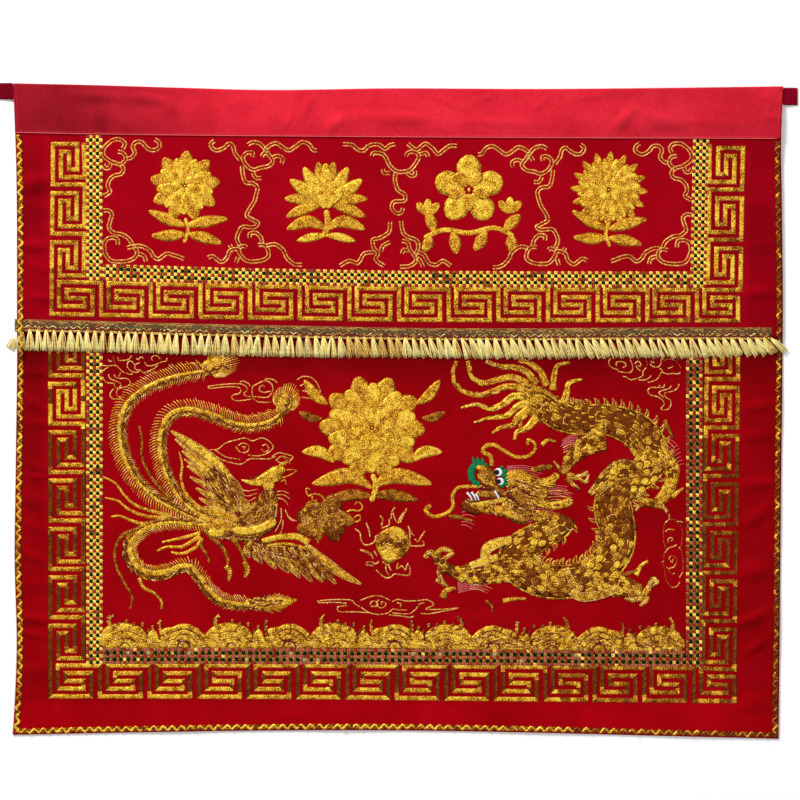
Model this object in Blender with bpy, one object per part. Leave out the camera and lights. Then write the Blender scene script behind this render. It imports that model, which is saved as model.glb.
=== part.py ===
"""Embroidered altar cloth: two red panels under a folded heading, with ribbon, braid and fringe.

Places on the cloth are counted in steps from its upper left, x to the right and y downwards.
Heights above the surface that it lies on are in metres.
"""

from collections import namedtuple
import math

import bmesh
import bpy

for old in list(bpy.data.objects):
    bpy.data.objects.remove(old, do_unlink=True)

# Driving sizes
STEP = 0.001367
MID_X = 398.5
MID_Y = 410.92
CLOTH = 0.0015
HEADING_CLOTH = 0.0014
APART = 0.0006
TRIM_APART = 0.00052
RIBBON_THICK = 0.0006
RIBBON_WIDE = 16.4
BRAID_THICK = 0.00095
GIMP_THICK = 0.0010
GIMP_WIDE = 3.3
GIMP_SWAY = 1.0
GIMP_HALF_WAVE = 4.3
GIMP_INSET = 3.8
TRIM_REST = 2 * CLOTH + APART + TRIM_APART
SLEEVE_GAP = 0.0020
SEAM_REST = 0.0060
TIE_THICK = 0.0012
TIE_TUCK = 8.0
TUCK = 11.0
RAMP = 35.0
SEAM_CLEAR = 0.35
RIBBON_CLEAR = 0.3
GIMP_CLEAR = 0.9
LOCK_PITCH = 8.16
LOCK_ROOT = 3.0
LOCK_REST = 0.0030
EDGE_RISE = 0.0011
EDGE_RISE_FROM = 735.0
EDGE_RISE_OVER = 30.0
LOCK_SWAY = 1.2
FIRST_LOCK = 21.6
LAST_LOCK = 772.0
BRAID_ENDS = (14.9, 773.0)
BRAID_OVER = 10.0


def table(columns, *rows):
    """Rows of numbers whose columns have names."""
    row = namedtuple("row", columns)
    return [row(*values) for values in rows]


# Outline of the cloth, left and right edge by height
SIDES = table(
    "y left right",
    (84, 13.3, 783.4),
    (133, 15.4, 781.0),
    (200, 16.8, 781.8),
    (290, 17.0, 782.8),
    (370, 16.9, 782.6),
    (470, 15.6, 781.4),
    (560, 14.6, 780.5),
    (640, 16.6, 779.8),
    (690, 15.2, 779.3),
    (740, 12.3, 778.7),
)

# Long edges by place across: heading top, heading seam and bottom hem
EDGES = table(
    "x top seam hem",
    (12, 83.2, 133.0, 735.0),
    (90, 84.9, 134.6, 733.4),
    (180, 87.6, 135.8, 731.8),
    (270, 89.9, 136.6, 730.6),
    (390, 88.3, 137.5, 730.4),
    (535, 88.9, 138.3, 732.7),
    (660, 87.9, 138.8, 735.9),
    (784, 86.3, 139.2, 739.0),
)

# Fringe braid by place across: its upper and lower edge, and the tips and lean of its locks
BRAID = table(
    "x top bottom tip lean",
    (16, 319.2, 331.6, 350.6, 2),
    (100, 321.0, 333.4, 352.0, 0),
    (200, 323.8, 336.0, 355.0, 0),
    (300, 325.8, 338.2, 357.2, 3),
    (400, 327.8, 340.0, 357.4, 14),
    (500, 328.4, 340.4, 358.4, 20),
    (600, 327.8, 340.4, 357.6, 22),
    (700, 327.4, 340.2, 357.6, 24),
    (773, 327.5, 340.0, 353.0, 40),
)

# The lock past the left edge, by its three rings
EDGE_LOCK = table(
    "x y half turn low thick",
    (14.4, 339.4, 1.3, 10, 0.0024, 0.0010),
    (11.2, 346.0, 4.6, 38, 0.0009, 0.0014),
    (10.4, 347.2, 4.4, 40, 0.0007, 0.0012),
)

# Low folds in the margins, half as long and half as wide as the two sizes given
FOLDS = table(
    "x y long wide turn high",
    (30, 432, 44, 44, 0, 0.0009),
    (34, 556, 44, 52, 0, 0.0012),
    (766, 412, 46, 46, 0, 0.0011),
    (762, 520, 44, 50, 0, 0.0009),
    (764, 628, 44, 48, 0, 0.0012),
    (176, 722, 34, 58, 90, 0.0010),
    (348, 720, 32, 64, 90, 0.0012),
    (540, 724, 32, 66, 90, 0.0010),
    (690, 726, 34, 54, 90, 0.0011),
)

# Creases that stand up in the front of the heading
CREASES = table(
    "x y long wide turn high",
    (84, 106, 46, 9, 4, 0.0012),
    (150, 118, 40, 9, 24, 0.0010),
    (232, 104, 60, 10, -6, 0.0012),
    (352, 124, 48, 8, -20, 0.0018),
    (404, 116, 36, 8, 12, 0.0013),
    (498, 108, 52, 10, -8, 0.0010),
    (572, 108, 22, 9, 84, 0.0014),
    (640, 126, 44, 8, -10, 0.0016),
    (724, 110, 40, 10, 14, 0.0011),
    (770, 122, 20, 7, 6, 0.0012),
)

# Height of the edge braid above the lift of the cloth, down its left and its right side
GIMP_LEFT = table(
    "y rest",
    (130, 0.00422),
    (311, 0.00422),
    (318.6, 0.00565),
    (332, 0.00565),
    (352, 0.0051),
    (361, 0.0021),
    (760, 0.0021),
)
GIMP_RIGHT = table(
    "y rest",
    (130, 0.00422),
    (338.8, 0.00422),
    (347.5, 0.0021),
    (760, 0.0021),
)

# Middle lines of the two check ribbons, from upper left round to upper right
UPPER_RIBBON = table(
    "x y",
    (94.4, 134.0),
    (94.4, 272.0),
    (240.0, 276.3),
    (400.0, 279.0),
    (560.0, 279.6),
    (698.0, 279.6),
    (701.1, 139.0),
)
LOWER_RIBBON = table(
    "x y",
    (94.4, 346.0),
    (94.4, 656.2),
    (300.0, 656.6),
    (500.0, 657.8),
    (694.4, 659.5),
    (694.4, 350.0),
)

# The two ties: where the heading's edge is, which way they point, their tongue, width and free length
TIES = table(
    "name edge outward tongue_top tongue_bottom top bottom free",
    ("tie_left", 13.4, -1, 86.2, 98.4, 82.9, 99.3, 14.2),
    ("tie_right", 783.2, 1, 89.6, 104.0, 87.7, 105.1, 14.6),
)

# Rings of a lock: share of its length, half width, share of the way up to the braid, thickness
LOCK_SHAPE = table(
    "share half raised thick",
    (0.42, 2.3, 0.55, 0.0014),
    (1.0, 2.75, 0.0, 0.0013),
)

# Columns and rows of the two panels
COLUMNS = 24
TOP_ROWS = (0, 9, 18, 27, 36, 47)
PANEL_ROWS = 22
VALANCE_ROWS = 6
HEADING_COLUMNS = 40
HEADING_ROWS = 7
BACK_ROWS = 2
FOLD_STEPS = 6
HEM_STEPS = 40
RIBBON_PART = 20.0
SIDE_STEPS = 34


def read(rows, by, name, at):
    """A smooth line through one column of a table, read at a place."""
    keys = [getattr(row, by) for row in rows]
    values = [getattr(row, name) for row in rows]
    last = len(keys) - 1
    at = min(max(at, keys[0]), keys[last])
    i = 0
    while i < last - 1 and at > keys[i + 1]:
        i += 1

    def slope(k):
        low = max(k - 1, 0)
        high = min(k + 1, last)
        return (values[high] - values[low]) / (keys[high] - keys[low])

    span = keys[i + 1] - keys[i]
    t = (at - keys[i]) / span
    blend = t * t * (3 - 2 * t)
    start = (t * (1 - t) ** 2) * span * slope(i)
    end = (t * t * (t - 1)) * span * slope(i + 1)
    return values[i] + (values[i + 1] - values[i]) * blend + start + end


def straight(rows, by, name, at):
    """A broken line through one column of a table, read at a place."""
    for first, second in zip(rows, rows[1:]):
        here = getattr(first, by)
        there = getattr(second, by)
        if at <= there:
            share = max(at - here, 0) / (there - here)
            return getattr(first, name) + share * (getattr(second, name) - getattr(first, name))
    return getattr(rows[-1], name)


def ease(t):
    t = min(max(t, 0.0), 1.0)
    return t * t * (3 - 2 * t)


def place(x, y, z):
    return ((x - MID_X) * STEP, (MID_Y - y) * STEP, z)


def bump(fold, x, y):
    """A soft ridge that dies out at its own ends and sides."""
    turn = math.radians(fold.turn)
    dx = x - fold.x
    dy = y - fold.y
    along = (dx * math.cos(turn) + dy * math.sin(turn)) / fold.long
    across = (-dx * math.sin(turn) + dy * math.cos(turn)) / fold.wide
    if abs(along) >= 1 or abs(across) >= 1:
        return 0.0
    return fold.high * math.cos(along * math.pi / 2) ** 2 * math.cos(across * math.pi / 2) ** 2


def lift(x, y):
    """Height of the lower panel's underside: flat but for the heading's ramp and the margin folds."""
    past = y - read(EDGES, "x", "seam", x)
    ramp = (HEADING_CLOTH + APART) * ease(1 - past / RAMP)
    return ramp + sum(bump(fold, x, y) for fold in FOLDS)


def across(u, y):
    left = read(SIDES, "y", "left", y)
    right = read(SIDES, "y", "right", y)
    return left + u * (right - left)


def solid(name, colour, points, faces, smooth=True):
    """One closed body from points and faces, with its own cloth material."""
    mesh = bpy.data.meshes.new(name)
    mesh.from_pydata([place(*p) for p in points], [], faces)
    body = bmesh.new()
    body.from_mesh(mesh)
    bmesh.ops.recalc_face_normals(body, faces=body.faces)
    body.to_mesh(mesh)
    body.free()
    mesh.polygons.foreach_set("use_smooth", [smooth] * len(mesh.polygons))
    material = bpy.data.materials.new(name)
    material.use_nodes = True
    shader = material.node_tree.nodes["Principled BSDF"]
    shader.inputs["Base Color"].default_value = (*colour, 1.0)
    shader.inputs["Roughness"].default_value = 0.8
    mesh.materials.append(material)
    body_object = bpy.data.objects.new(name, mesh)
    bpy.context.scene.collection.objects.link(body_object)
    return body_object


def sheet_solid(name, colour, rows, rest):
    """A sheet from rows of places on its underside, raised by its own thickness."""
    high = len(rows)
    wide = len(rows[0])
    count = high * wide
    points = [(x, y, rest(x, y)) for row in rows for x, y in row]
    points += [(x, y, z + CLOTH) for x, y, z in points]
    faces = []
    for j in range(high - 1):
        for i in range(wide - 1):
            a = j * wide + i
            low = (a, a + 1, a + wide + 1, a + wide)
            faces.append(low)
            faces.append(tuple(count + k for k in low))
    rim = [i for i in range(wide)]
    rim += [j * wide + wide - 1 for j in range(1, high)]
    rim += [(high - 1) * wide + i for i in range(wide - 2, -1, -1)]
    rim += [j * wide for j in range(high - 2, 0, -1)]
    for a, b in zip(rim, rim[1:] + rim[:1]):
        faces.append((a, b, count + b, count + a))
    return solid(name, colour, points, faces)


def panel_rows(bottom, more):
    """Rows of places from just above the heading's seam down to a lower edge."""
    rows = []
    offsets = [(k, 0.0) for k in TOP_ROWS]
    offsets += [(TOP_ROWS[-1], (k + 1) / more) for k in range(more)]
    for fixed, share in offsets:
        row = []
        for i in range(COLUMNS + 1):
            u = i / COLUMNS
            guess = across(u, read(EDGES, "x", "seam", u * 2 * MID_X) + fixed)
            y_top = read(EDGES, "x", "seam", guess) - TUCK + fixed
            y = y_top + share * (bottom(guess) - y_top)
            row.append((across(u, y), y))
        rows.append(row)
    return rows


def lower_panel():
    rows = panel_rows(lambda x: read(EDGES, "x", "hem", x), PANEL_ROWS)
    return sheet_solid("lower_panel", (0.42, 0.0, 0.02), rows, lift)


def valance():
    rows = panel_rows(lambda x: read(BRAID, "x", "top", x) + BRAID_OVER, VALANCE_ROWS)
    return sheet_solid("valance", (0.46, 0.0, 0.03), rows, lambda x, y: lift(x, y) + CLOTH + APART)


def heading_rest(x, y):
    """Underside of the heading's front: low at the fold, over the panels at the seam."""
    top = read(EDGES, "x", "top", x)
    seam = read(EDGES, "x", "seam", x)
    start = top + 4
    end = seam - TUCK - 2
    low = HEADING_CLOTH + SLEEVE_GAP
    base = low + (SEAM_REST - low) * ease((y - start) / (end - start))
    fade = ease((y - start) / 5) * ease((seam + 4 - y) / 8)
    return base + fade * sum(bump(crease, x, y) for crease in CREASES)


def heading():
    """One cloth folded over at the top, with a front and a back layer."""
    outer_round = (2 * HEADING_CLOTH + SLEEVE_GAP) / 2
    inner_round = SLEEVE_GAP / 2
    points = []
    for i in range(HEADING_COLUMNS + 1):
        u = i / HEADING_COLUMNS
        guess = across(u, 100)
        top = read(EDGES, "x", "top", guess)
        seam = read(EDGES, "x", "seam", guess)
        turn_y = top + outer_round / STEP
        outer = []
        inner = []
        for j in range(HEADING_ROWS):
            y = seam + (turn_y - seam) * j / HEADING_ROWS
            z = heading_rest(guess, y)
            outer.append((y, z + HEADING_CLOTH))
            inner.append((y, z))
        for j in range(FOLD_STEPS + 1):
            angle = math.pi * j / FOLD_STEPS
            back = math.sin(angle) / STEP
            rise = math.cos(angle)
            outer.append((turn_y - outer_round * back, outer_round + outer_round * rise))
            inner.append((turn_y - inner_round * back, outer_round + inner_round * rise))
        for j in range(BACK_ROWS):
            y = turn_y + (seam - 2 - turn_y) * (j + 1) / BACK_ROWS
            outer.append((y, 0.0))
            inner.append((y, HEADING_CLOTH))
        for y, z in outer + inner[::-1]:
            points.append((across(u, y), y, z))
    ring = len(points) // (HEADING_COLUMNS + 1)
    half = ring // 2
    faces = []
    for i in range(HEADING_COLUMNS):
        for j in range(ring):
            a = i * ring + j
            b = i * ring + (j + 1) % ring
            faces.append((a, b, b + ring, a + ring))
    for j in range(half - 1):
        left = (j, j + 1, ring - 2 - j, ring - 1 - j)
        faces.append(left)
        faces.append(tuple(HEADING_COLUMNS * ring + k for k in left))
    return solid("heading", (0.58, 0.01, 0.04), points, faces)


def tie(row):
    """A flat tape whose tongue is caught in the heading and whose end drops to the surface."""
    rest = HEADING_CLOTH + (SLEEVE_GAP - TIE_THICK) / 2
    stations = table(
        "along top bottom low",
        (-TIE_TUCK, row.tongue_top, row.tongue_bottom, rest),
        (0.3, row.tongue_top, row.tongue_bottom, rest),
        (0.9, row.top, row.bottom, rest),
        (0.45 * row.free, row.top, row.bottom, rest * 0.6),
        (0.8 * row.free, row.top, row.bottom, rest * 0.12),
        (row.free, row.top, row.bottom, 0.0),
    )
    points = []
    for s in stations:
        x = row.edge + s.along * row.outward
        high = s.low + TIE_THICK
        points += [(x, s.top, s.low), (x, s.bottom, s.low), (x, s.bottom, high), (x, s.top, high)]
    return solid(row.name, (0.28, 0.0, 0.02), points, tube_faces(len(stations)), smooth=False)


def tube_faces(count):
    """Faces of a four-sided run through count rings, with both ends closed."""
    last = 4 * count - 4
    faces = [(0, 1, 2, 3), (last, last + 1, last + 2, last + 3)]
    for i in range(count - 1):
        for k in range(4):
            a = i * 4 + k
            b = i * 4 + (k + 1) % 4
            faces.append((a, b, b + 4, a + 4))
    return faces


def divided(path, longest):
    """The same broken line with no part of it longer than given."""
    out = [path[0]]
    for a, b in zip(path, path[1:]):
        parts = max(1, math.ceil(math.dist(a, b) / longest))
        for k in range(1, parts + 1):
            out.append((a[0] + (b[0] - a[0]) * k / parts, a[1] + (b[1] - a[1]) * k / parts))
    return out


def strip(name, colour, path, wide, thick, rest):
    """A flat tape along a line, mitred where the line turns."""
    points = []
    for i, here in enumerate(path):
        before = path[max(i - 1, 0)]
        after = path[min(i + 1, len(path) - 1)]
        first = math.atan2(here[1] - before[1], here[0] - before[0]) if i else None
        second = math.atan2(after[1] - here[1], after[0] - here[0]) if i < len(path) - 1 else first
        first = second if first is None else first
        bend = (second - first + math.pi) % (2 * math.pi) - math.pi
        mid = first + bend / 2
        half = wide / 2 / math.cos(bend / 2)
        side = (-math.sin(mid) * half, math.cos(mid) * half)
        for sign, raised in ((-1, 0), (1, 0), (1, thick), (-1, thick)):
            x = here[0] + sign * side[0]
            y = here[1] + sign * side[1]
            points.append((x, y, rest(x, y) + raised))
    return solid(name, colour, points, tube_faces(len(path)))


def butted(x):
    """The heading's lower edge at a place, with the clearance of a butted trim."""
    return read(EDGES, "x", "seam", x) + SEAM_CLEAR


def upper_ribbon():
    path = [(row.x, row.y) for row in UPPER_RIBBON]
    path[0] = (path[0][0], butted(path[0][0]) + RIBBON_CLEAR)
    path[-1] = (path[-1][0], butted(path[-1][0]) + RIBBON_CLEAR)
    return strip(
        "valance_ribbon",
        (0.7, 0.45, 0.03),
        divided(path, RIBBON_PART),
        RIBBON_WIDE,
        RIBBON_THICK,
        lambda x, y: lift(x, y) + TRIM_REST,
    )


def lower_ribbon():
    path = [(row.x, row.y) for row in LOWER_RIBBON]
    return strip(
        "panel_ribbon",
        (0.4, 0.3, 0.03),
        divided(path, RIBBON_PART),
        RIBBON_WIDE,
        RIBBON_THICK,
        lambda x, y: lift(x, y) + CLOTH + TRIM_APART,
    )


def evenly(path, step):
    """Points one step apart along a broken line, with both of its ends."""
    lengths = [math.dist(a, b) for a, b in zip(path, path[1:])]
    count = round(sum(lengths) / step)
    apart = sum(lengths) / count
    out = []
    passed = 0.0
    for a, b, length in zip(path, path[1:], lengths):
        while len(out) <= count and len(out) * apart <= passed + length + 1e-9:
            share = (len(out) * apart - passed) / length
            out.append((a[0] + (b[0] - a[0]) * share, a[1] + (b[1] - a[1]) * share))
        passed += length
    return out


def swayed(path, sway):
    """The line with its points to one side and the other in turn."""
    out = []
    for i, (x, y) in enumerate(path):
        before = path[max(i - 1, 0)]
        after = path[min(i + 1, len(path) - 1)]
        dx = after[0] - before[0]
        dy = after[1] - before[1]
        side = sway * (1 if i % 2 else -1) / math.hypot(dx, dy)
        out.append((x - dy * side, y + dx * side))
    return out


def gimp_path():
    """The edge braid's middle line: down the left side, along the hem and up the right side."""
    start = butted(SIDES[1].left) + GIMP_CLEAR
    end = butted(SIDES[1].right) + GIMP_CLEAR
    hem = EDGES[0].hem
    corner_left = read(SIDES, "y", "left", hem) + GIMP_INSET
    corner_right = read(SIDES, "y", "right", hem) - GIMP_INSET
    low_left = read(EDGES, "x", "hem", corner_left) - GIMP_INSET
    low_right = read(EDGES, "x", "hem", corner_right) - GIMP_INSET
    path = []
    for k in range(SIDE_STEPS):
        y = start + (low_left - start) * k / SIDE_STEPS
        path.append((read(SIDES, "y", "left", y) + GIMP_INSET, y))
    for k in range(HEM_STEPS + 1):
        x = corner_left + (corner_right - corner_left) * k / HEM_STEPS
        path.append((x, read(EDGES, "x", "hem", x) - GIMP_INSET))
    for k in range(SIDE_STEPS - 1, -1, -1):
        y = end + (low_right - end) * k / SIDE_STEPS
        path.append((read(SIDES, "y", "right", y) - GIMP_INSET, y))
    return swayed(evenly(path, GIMP_HALF_WAVE), GIMP_SWAY)


def edge_gimp():
    def rest(x, y):
        side = GIMP_LEFT if x < MID_X else GIMP_RIGHT
        return lift(x, y) + straight(side, "y", "rest", y)

    return strip("edge_gimp", (0.8, 0.5, 0.05), gimp_path(), GIMP_WIDE, GIMP_THICK, rest)


def lock_rings(x):
    """The rings of one lock: narrow at its root, full in its middle, blunt at its tip."""
    root = read(BRAID, "x", "bottom", x)
    lean = math.radians(read(BRAID, "x", "lean", x) + LOCK_SWAY * math.sin(1.7 * x))
    reach = (read(BRAID, "x", "tip", x) - root) / math.cos(lean)
    end_rise = EDGE_RISE * ease((x - EDGE_RISE_FROM) / EDGE_RISE_OVER)
    level = LOCK_REST + end_rise
    rings = []
    for s in LOCK_SHAPE:
        cx = x + s.share * reach * math.sin(lean)
        cy = root + s.share * reach * math.cos(lean)
        low = level + s.raised * (TRIM_REST - level)
        rings.append((cx, cy, s.half * math.cos(lean), -math.degrees(lean), low, s.thick))
    return rings


def fringe():
    """The woven braid with its locks, whose roots grow out of the braid's lower edge."""
    low = TRIM_REST
    high = low + BRAID_THICK
    locks = [(15.8, 0.7, [tuple(row) for row in EDGE_LOCK])]
    x = FIRST_LOCK
    while x < LAST_LOCK:
        locks.append((x, LOCK_ROOT / 2, lock_rings(x)))
        x += LOCK_PITCH
    stations = [BRAID_ENDS[0]]
    for x, half, _ in locks:
        stations += [x - half, x + half]
    stations.append(BRAID_ENDS[1])
    points = []
    faces = []
    for x in stations:
        top = read(BRAID, "x", "top", x)
        bottom = read(BRAID, "x", "bottom", x)
        points += [(x, top, low), (x, bottom, low), (x, bottom, high), (x, top, high)]
    last = len(points) - 4
    faces += [(0, 1, 2, 3), (last, last + 1, last + 2, last + 3)]
    for i in range(len(stations) - 1):
        for k in range(4):
            if k == 1 and i % 2 == 1:
                continue
            a = i * 4 + k
            b = i * 4 + (k + 1) % 4
            faces.append((a, b, b + 4, a + 4))
    for number, (_, _, rings) in enumerate(locks):
        left = (2 * number + 1) * 4
        ring = [left + 1, left + 2, left + 6, left + 5]
        for cx, cy, half, turn, rest, thick in rings:
            dx = half * math.cos(math.radians(turn))
            dy = half * math.sin(math.radians(turn))
            first = len(points)
            points += [
                (cx - dx, cy - dy, rest),
                (cx - dx, cy - dy, rest + thick),
                (cx + dx, cy + dy, rest + thick),
                (cx + dx, cy + dy, rest),
            ]
            new = [first, first + 1, first + 2, first + 3]
            for k in range(4):
                faces.append((ring[k], ring[(k + 1) % 4], new[(k + 1) % 4], new[k]))
            ring = new
        faces.append(tuple(ring))
    return solid("fringe", (0.82, 0.66, 0.28), points, faces)


lower_panel()
valance()
heading()
for row in TIES:
    tie(row)
upper_ribbon()
lower_ribbon()
edge_gimp()
fringe()
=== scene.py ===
"""Looks of the embroidered altar cloth: its cloths, ribbons, braid, tassels and raised gold stitching.

Places on the cloth are counted in steps from its upper left, x to the right and y downwards.
Heights above the surface that it lies on are in metres.
"""
from collections import namedtuple
import math
import random

import bpy
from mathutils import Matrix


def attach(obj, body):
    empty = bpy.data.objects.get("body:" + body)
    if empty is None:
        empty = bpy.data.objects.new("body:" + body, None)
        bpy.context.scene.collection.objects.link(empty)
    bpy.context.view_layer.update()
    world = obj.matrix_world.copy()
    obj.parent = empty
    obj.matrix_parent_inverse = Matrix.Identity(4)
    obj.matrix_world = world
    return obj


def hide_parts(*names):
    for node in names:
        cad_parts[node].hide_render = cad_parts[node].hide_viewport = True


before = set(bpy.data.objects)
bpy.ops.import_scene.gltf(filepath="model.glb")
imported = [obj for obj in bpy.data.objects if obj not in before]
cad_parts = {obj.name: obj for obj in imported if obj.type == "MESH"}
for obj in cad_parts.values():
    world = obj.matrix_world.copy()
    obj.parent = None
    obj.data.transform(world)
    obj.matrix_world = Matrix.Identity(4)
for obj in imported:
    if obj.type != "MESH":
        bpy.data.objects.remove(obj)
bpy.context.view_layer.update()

# Driving sizes, the same as the solids'
STEP = 0.001367
MID_X = 398.5
MID_Y = 410.92
CLOTH = 0.0015
HEADING_CLOTH = 0.0014
APART = 0.0006
TRIM_APART = 0.00052
RIBBON_WIDE = 16.4
RIBBON_THICK = 0.0006
BRAID_THICK = 0.00095
GIMP_INSET = 3.8
TRIM_REST = 2 * CLOTH + APART + TRIM_APART
SLEEVE_GAP = 0.0020
SEAM_REST = 0.0060
TIE_THICK = 0.0012
TIE_TUCK = 8.0
TUCK = 11.0
RAMP = 35.0
SEAM_CLEAR = 0.35
LOCK_PITCH = 8.16
LOCK_REST = 0.0030
EDGE_RISE = 0.0011
EDGE_RISE_FROM = 735.0
EDGE_RISE_OVER = 30.0
FIRST_LOCK = 21.6
LAST_LOCK = 772.0
BRAID_ENDS = (14.9, 773.0)
BRAID_OVER = 10.0


def table(columns, *rows):
    """Rows of numbers whose columns have names."""
    row = namedtuple("row", columns)
    return [row(*values) for values in rows]


# Outline of the cloth, left and right edge by height
SIDES = table(
    "y left right",
    (84, 13.3, 783.4),
    (133, 15.4, 781.0),
    (200, 16.8, 781.8),
    (290, 17.0, 782.8),
    (370, 16.9, 782.6),
    (470, 15.6, 781.4),
    (560, 14.6, 780.5),
    (640, 16.6, 779.8),
    (690, 15.2, 779.3),
    (740, 12.3, 778.7),
)

# Long edges by place across: heading top, heading seam and bottom hem
EDGES = table(
    "x top seam hem",
    (12, 83.2, 133.0, 735.0),
    (90, 84.9, 134.6, 733.4),
    (180, 87.6, 135.8, 731.8),
    (270, 89.9, 136.6, 730.6),
    (390, 88.3, 137.5, 730.4),
    (535, 88.9, 138.3, 732.7),
    (660, 87.9, 138.8, 735.9),
    (784, 86.3, 139.2, 739.0),
)

# Fringe braid by place across: its upper and lower edge, and the tips and lean of its locks
BRAID = table(
    "x top bottom tip lean",
    (16, 319.2, 331.6, 350.6, 2),
    (100, 321.0, 333.4, 352.0, 0),
    (200, 323.8, 336.0, 355.0, 0),
    (300, 325.8, 338.2, 357.2, 3),
    (400, 327.8, 340.0, 357.4, 14),
    (500, 328.4, 340.4, 358.4, 20),
    (600, 327.8, 340.4, 357.6, 22),
    (700, 327.4, 340.2, 357.6, 24),
    (773, 327.5, 340.0, 353.0, 40),
)

# Low folds in the margins, half as long and half as wide as the two sizes given
FOLDS = table(
    "x y long wide turn high",
    (30, 432, 44, 44, 0, 0.0009),
    (34, 556, 44, 52, 0, 0.0012),
    (766, 412, 46, 46, 0, 0.0011),
    (762, 520, 44, 50, 0, 0.0009),
    (764, 628, 44, 48, 0, 0.0012),
    (176, 722, 34, 58, 90, 0.0010),
    (348, 720, 32, 64, 90, 0.0012),
    (540, 724, 32, 66, 90, 0.0010),
    (690, 726, 34, 54, 90, 0.0011),
)

# Puckers that the stitching pulls up in the margins, small beside the folds
PUCKERS = table(
    "x y long wide turn high",
    (35, 373, 26, 7, 3, 0.0015),
    (34, 404, 28, 7, 34, 0.0019),
    (38, 424, 24, 8, 8, 0.0013),
    (34, 466, 24, 6, 24, 0.0013),
    (38, 477, 20, 5, 4, 0.0011),
    (34, 500, 26, 10, 26, 0.0018),
    (34, 527, 26, 7, 22, 0.0009),
    (34, 557, 26, 8, 28, 0.0019),
    (36, 586, 24, 10, 6, 0.0008),
    (34, 619, 26, 7, 10, 0.0021),
    (31, 634, 22, 6, 14, 0.0015),
    (34, 671, 26, 12, 0, 0.0014),
    (60, 712, 8, 26, 10, 0.0008),
    (760, 406, 26, 9, -8, 0.0017),
    (757, 436, 26, 10, 0, 0.0015),
    (758, 484, 26, 9, -3, 0.0020),
    (757, 516, 28, 11, -34, 0.0018),
    (756, 571, 26, 13, -12, 0.0018),
    (752, 619, 26, 9, -20, 0.0024),
    (757, 646, 22, 8, -30, 0.0015),
    (754, 703, 28, 13, -5, 0.0018),
    (118, 715, 20, 9, 86, 0.0010),
    (236, 716, 20, 8, 94, 0.0010),
    (300, 714, 18, 7, 84, 0.0008),
    (344, 716, 22, 6, 88, 0.0014),
    (430, 716, 18, 9, 92, 0.0008),
    (497, 720, 20, 7, 97, 0.0013),
    (590, 722, 18, 9, 86, 0.0010),
    (640, 722, 20, 8, 96, 0.0013),
    (712, 722, 22, 9, 60, 0.0012),
    (640, 386, 44, 6, 2, 0.0006),
    (400, 560, 70, 16, -8, 0.0006),
    (300, 470, 60, 12, 12, 0.0005),
    (470, 620, 60, 9, -4, 0.0005),
    (180, 625, 50, 9, 6, 0.0005),
)

# The same in the upper panel
UPPER_PUCKERS = table(
    "x y long wide turn high",
    (35, 183, 26, 14, -10, 0.0030),
    (36, 207, 24, 9, 24, 0.0010),
    (33, 246, 24, 9, 3, 0.0021),
    (38, 267, 22, 8, 27, 0.0012),
    (41, 298, 20, 7, 12, 0.0018),
    (758, 206, 24, 12, 4, 0.0010),
    (760, 246, 22, 9, -4, 0.0008),
    (758, 293, 26, 10, -3, 0.0018),
    (130, 205, 30, 10, 70, 0.0004),
    (288, 190, 34, 10, 80, 0.0004),
    (420, 230, 30, 12, 95, 0.0004),
    (566, 178, 32, 10, 85, 0.0004),
)

# Creases that stand up in the front of the heading
CREASES = table(
    "x y long wide turn high",
    (104, 96, 62, 9, 4, 0.0014),
    (150, 99, 34, 8, 12, 0.0012),
    (166, 106, 22, 8, 42, 0.0016),
    (232, 104, 60, 10, -6, 0.0006),
    (336, 124, 22, 9, -36, 0.0018),
    (372, 117, 34, 9, 6, 0.0014),
    (410, 118, 34, 9, 4, 0.0016),
    (500, 123, 70, 7, 3, 0.0009),
    (625, 119, 26, 9, -46, 0.0022),
    (664, 120, 30, 9, 14, 0.0019),
    (724, 124, 40, 8, 4, 0.0008),
    (768, 98, 16, 7, 52, 0.0016),
    (772, 118, 12, 5, 6, 0.0014),
)

# Finer creases between them
FINE_CREASES = table(
    "x y long wide turn high",
    (56, 112, 26, 7, 62, 0.0015),
    (68, 122, 16, 5, 56, 0.0011),
    (96, 116, 24, 7, 62, 0.0019),
    (122, 124, 18, 5, 48, 0.0012),
    (146, 116, 26, 6, 50, 0.0010),
    (176, 120, 22, 6, 54, 0.0009),
    (202, 112, 28, 7, 52, 0.0018),
    (228, 118, 28, 7, 52, 0.0019),
    (266, 112, 24, 6, 62, 0.0008),
    (308, 106, 28, 8, -60, 0.0012),
    (288, 122, 20, 6, -62, 0.0008),
    (452, 104, 30, 5, 22, 0.0008),
    (486, 98, 20, 5, -24, 0.0007),
    (543, 102, 18, 5, -42, 0.0008),
    (590, 96, 30, 6, -8, 0.0008),
    (628, 92, 22, 5, -24, 0.0009),
    (572, 112, 22, 3, 90, 0.0005),
    (648, 118, 22, 5, 48, 0.0012),
    (700, 122, 22, 5, 8, 0.0007),
)

# Height of the edge braid above the lift of the cloth, down its left and its right side
GIMP_LEFT = table(
    "y rest",
    (130, 0.00422),
    (311, 0.00422),
    (318.6, 0.00565),
    (332, 0.00565),
    (352, 0.0051),
    (361, 0.0021),
    (760, 0.0021),
)
GIMP_RIGHT = table(
    "y rest",
    (130, 0.00422),
    (338.8, 0.00422),
    (347.5, 0.0021),
    (760, 0.0021),
)

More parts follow.
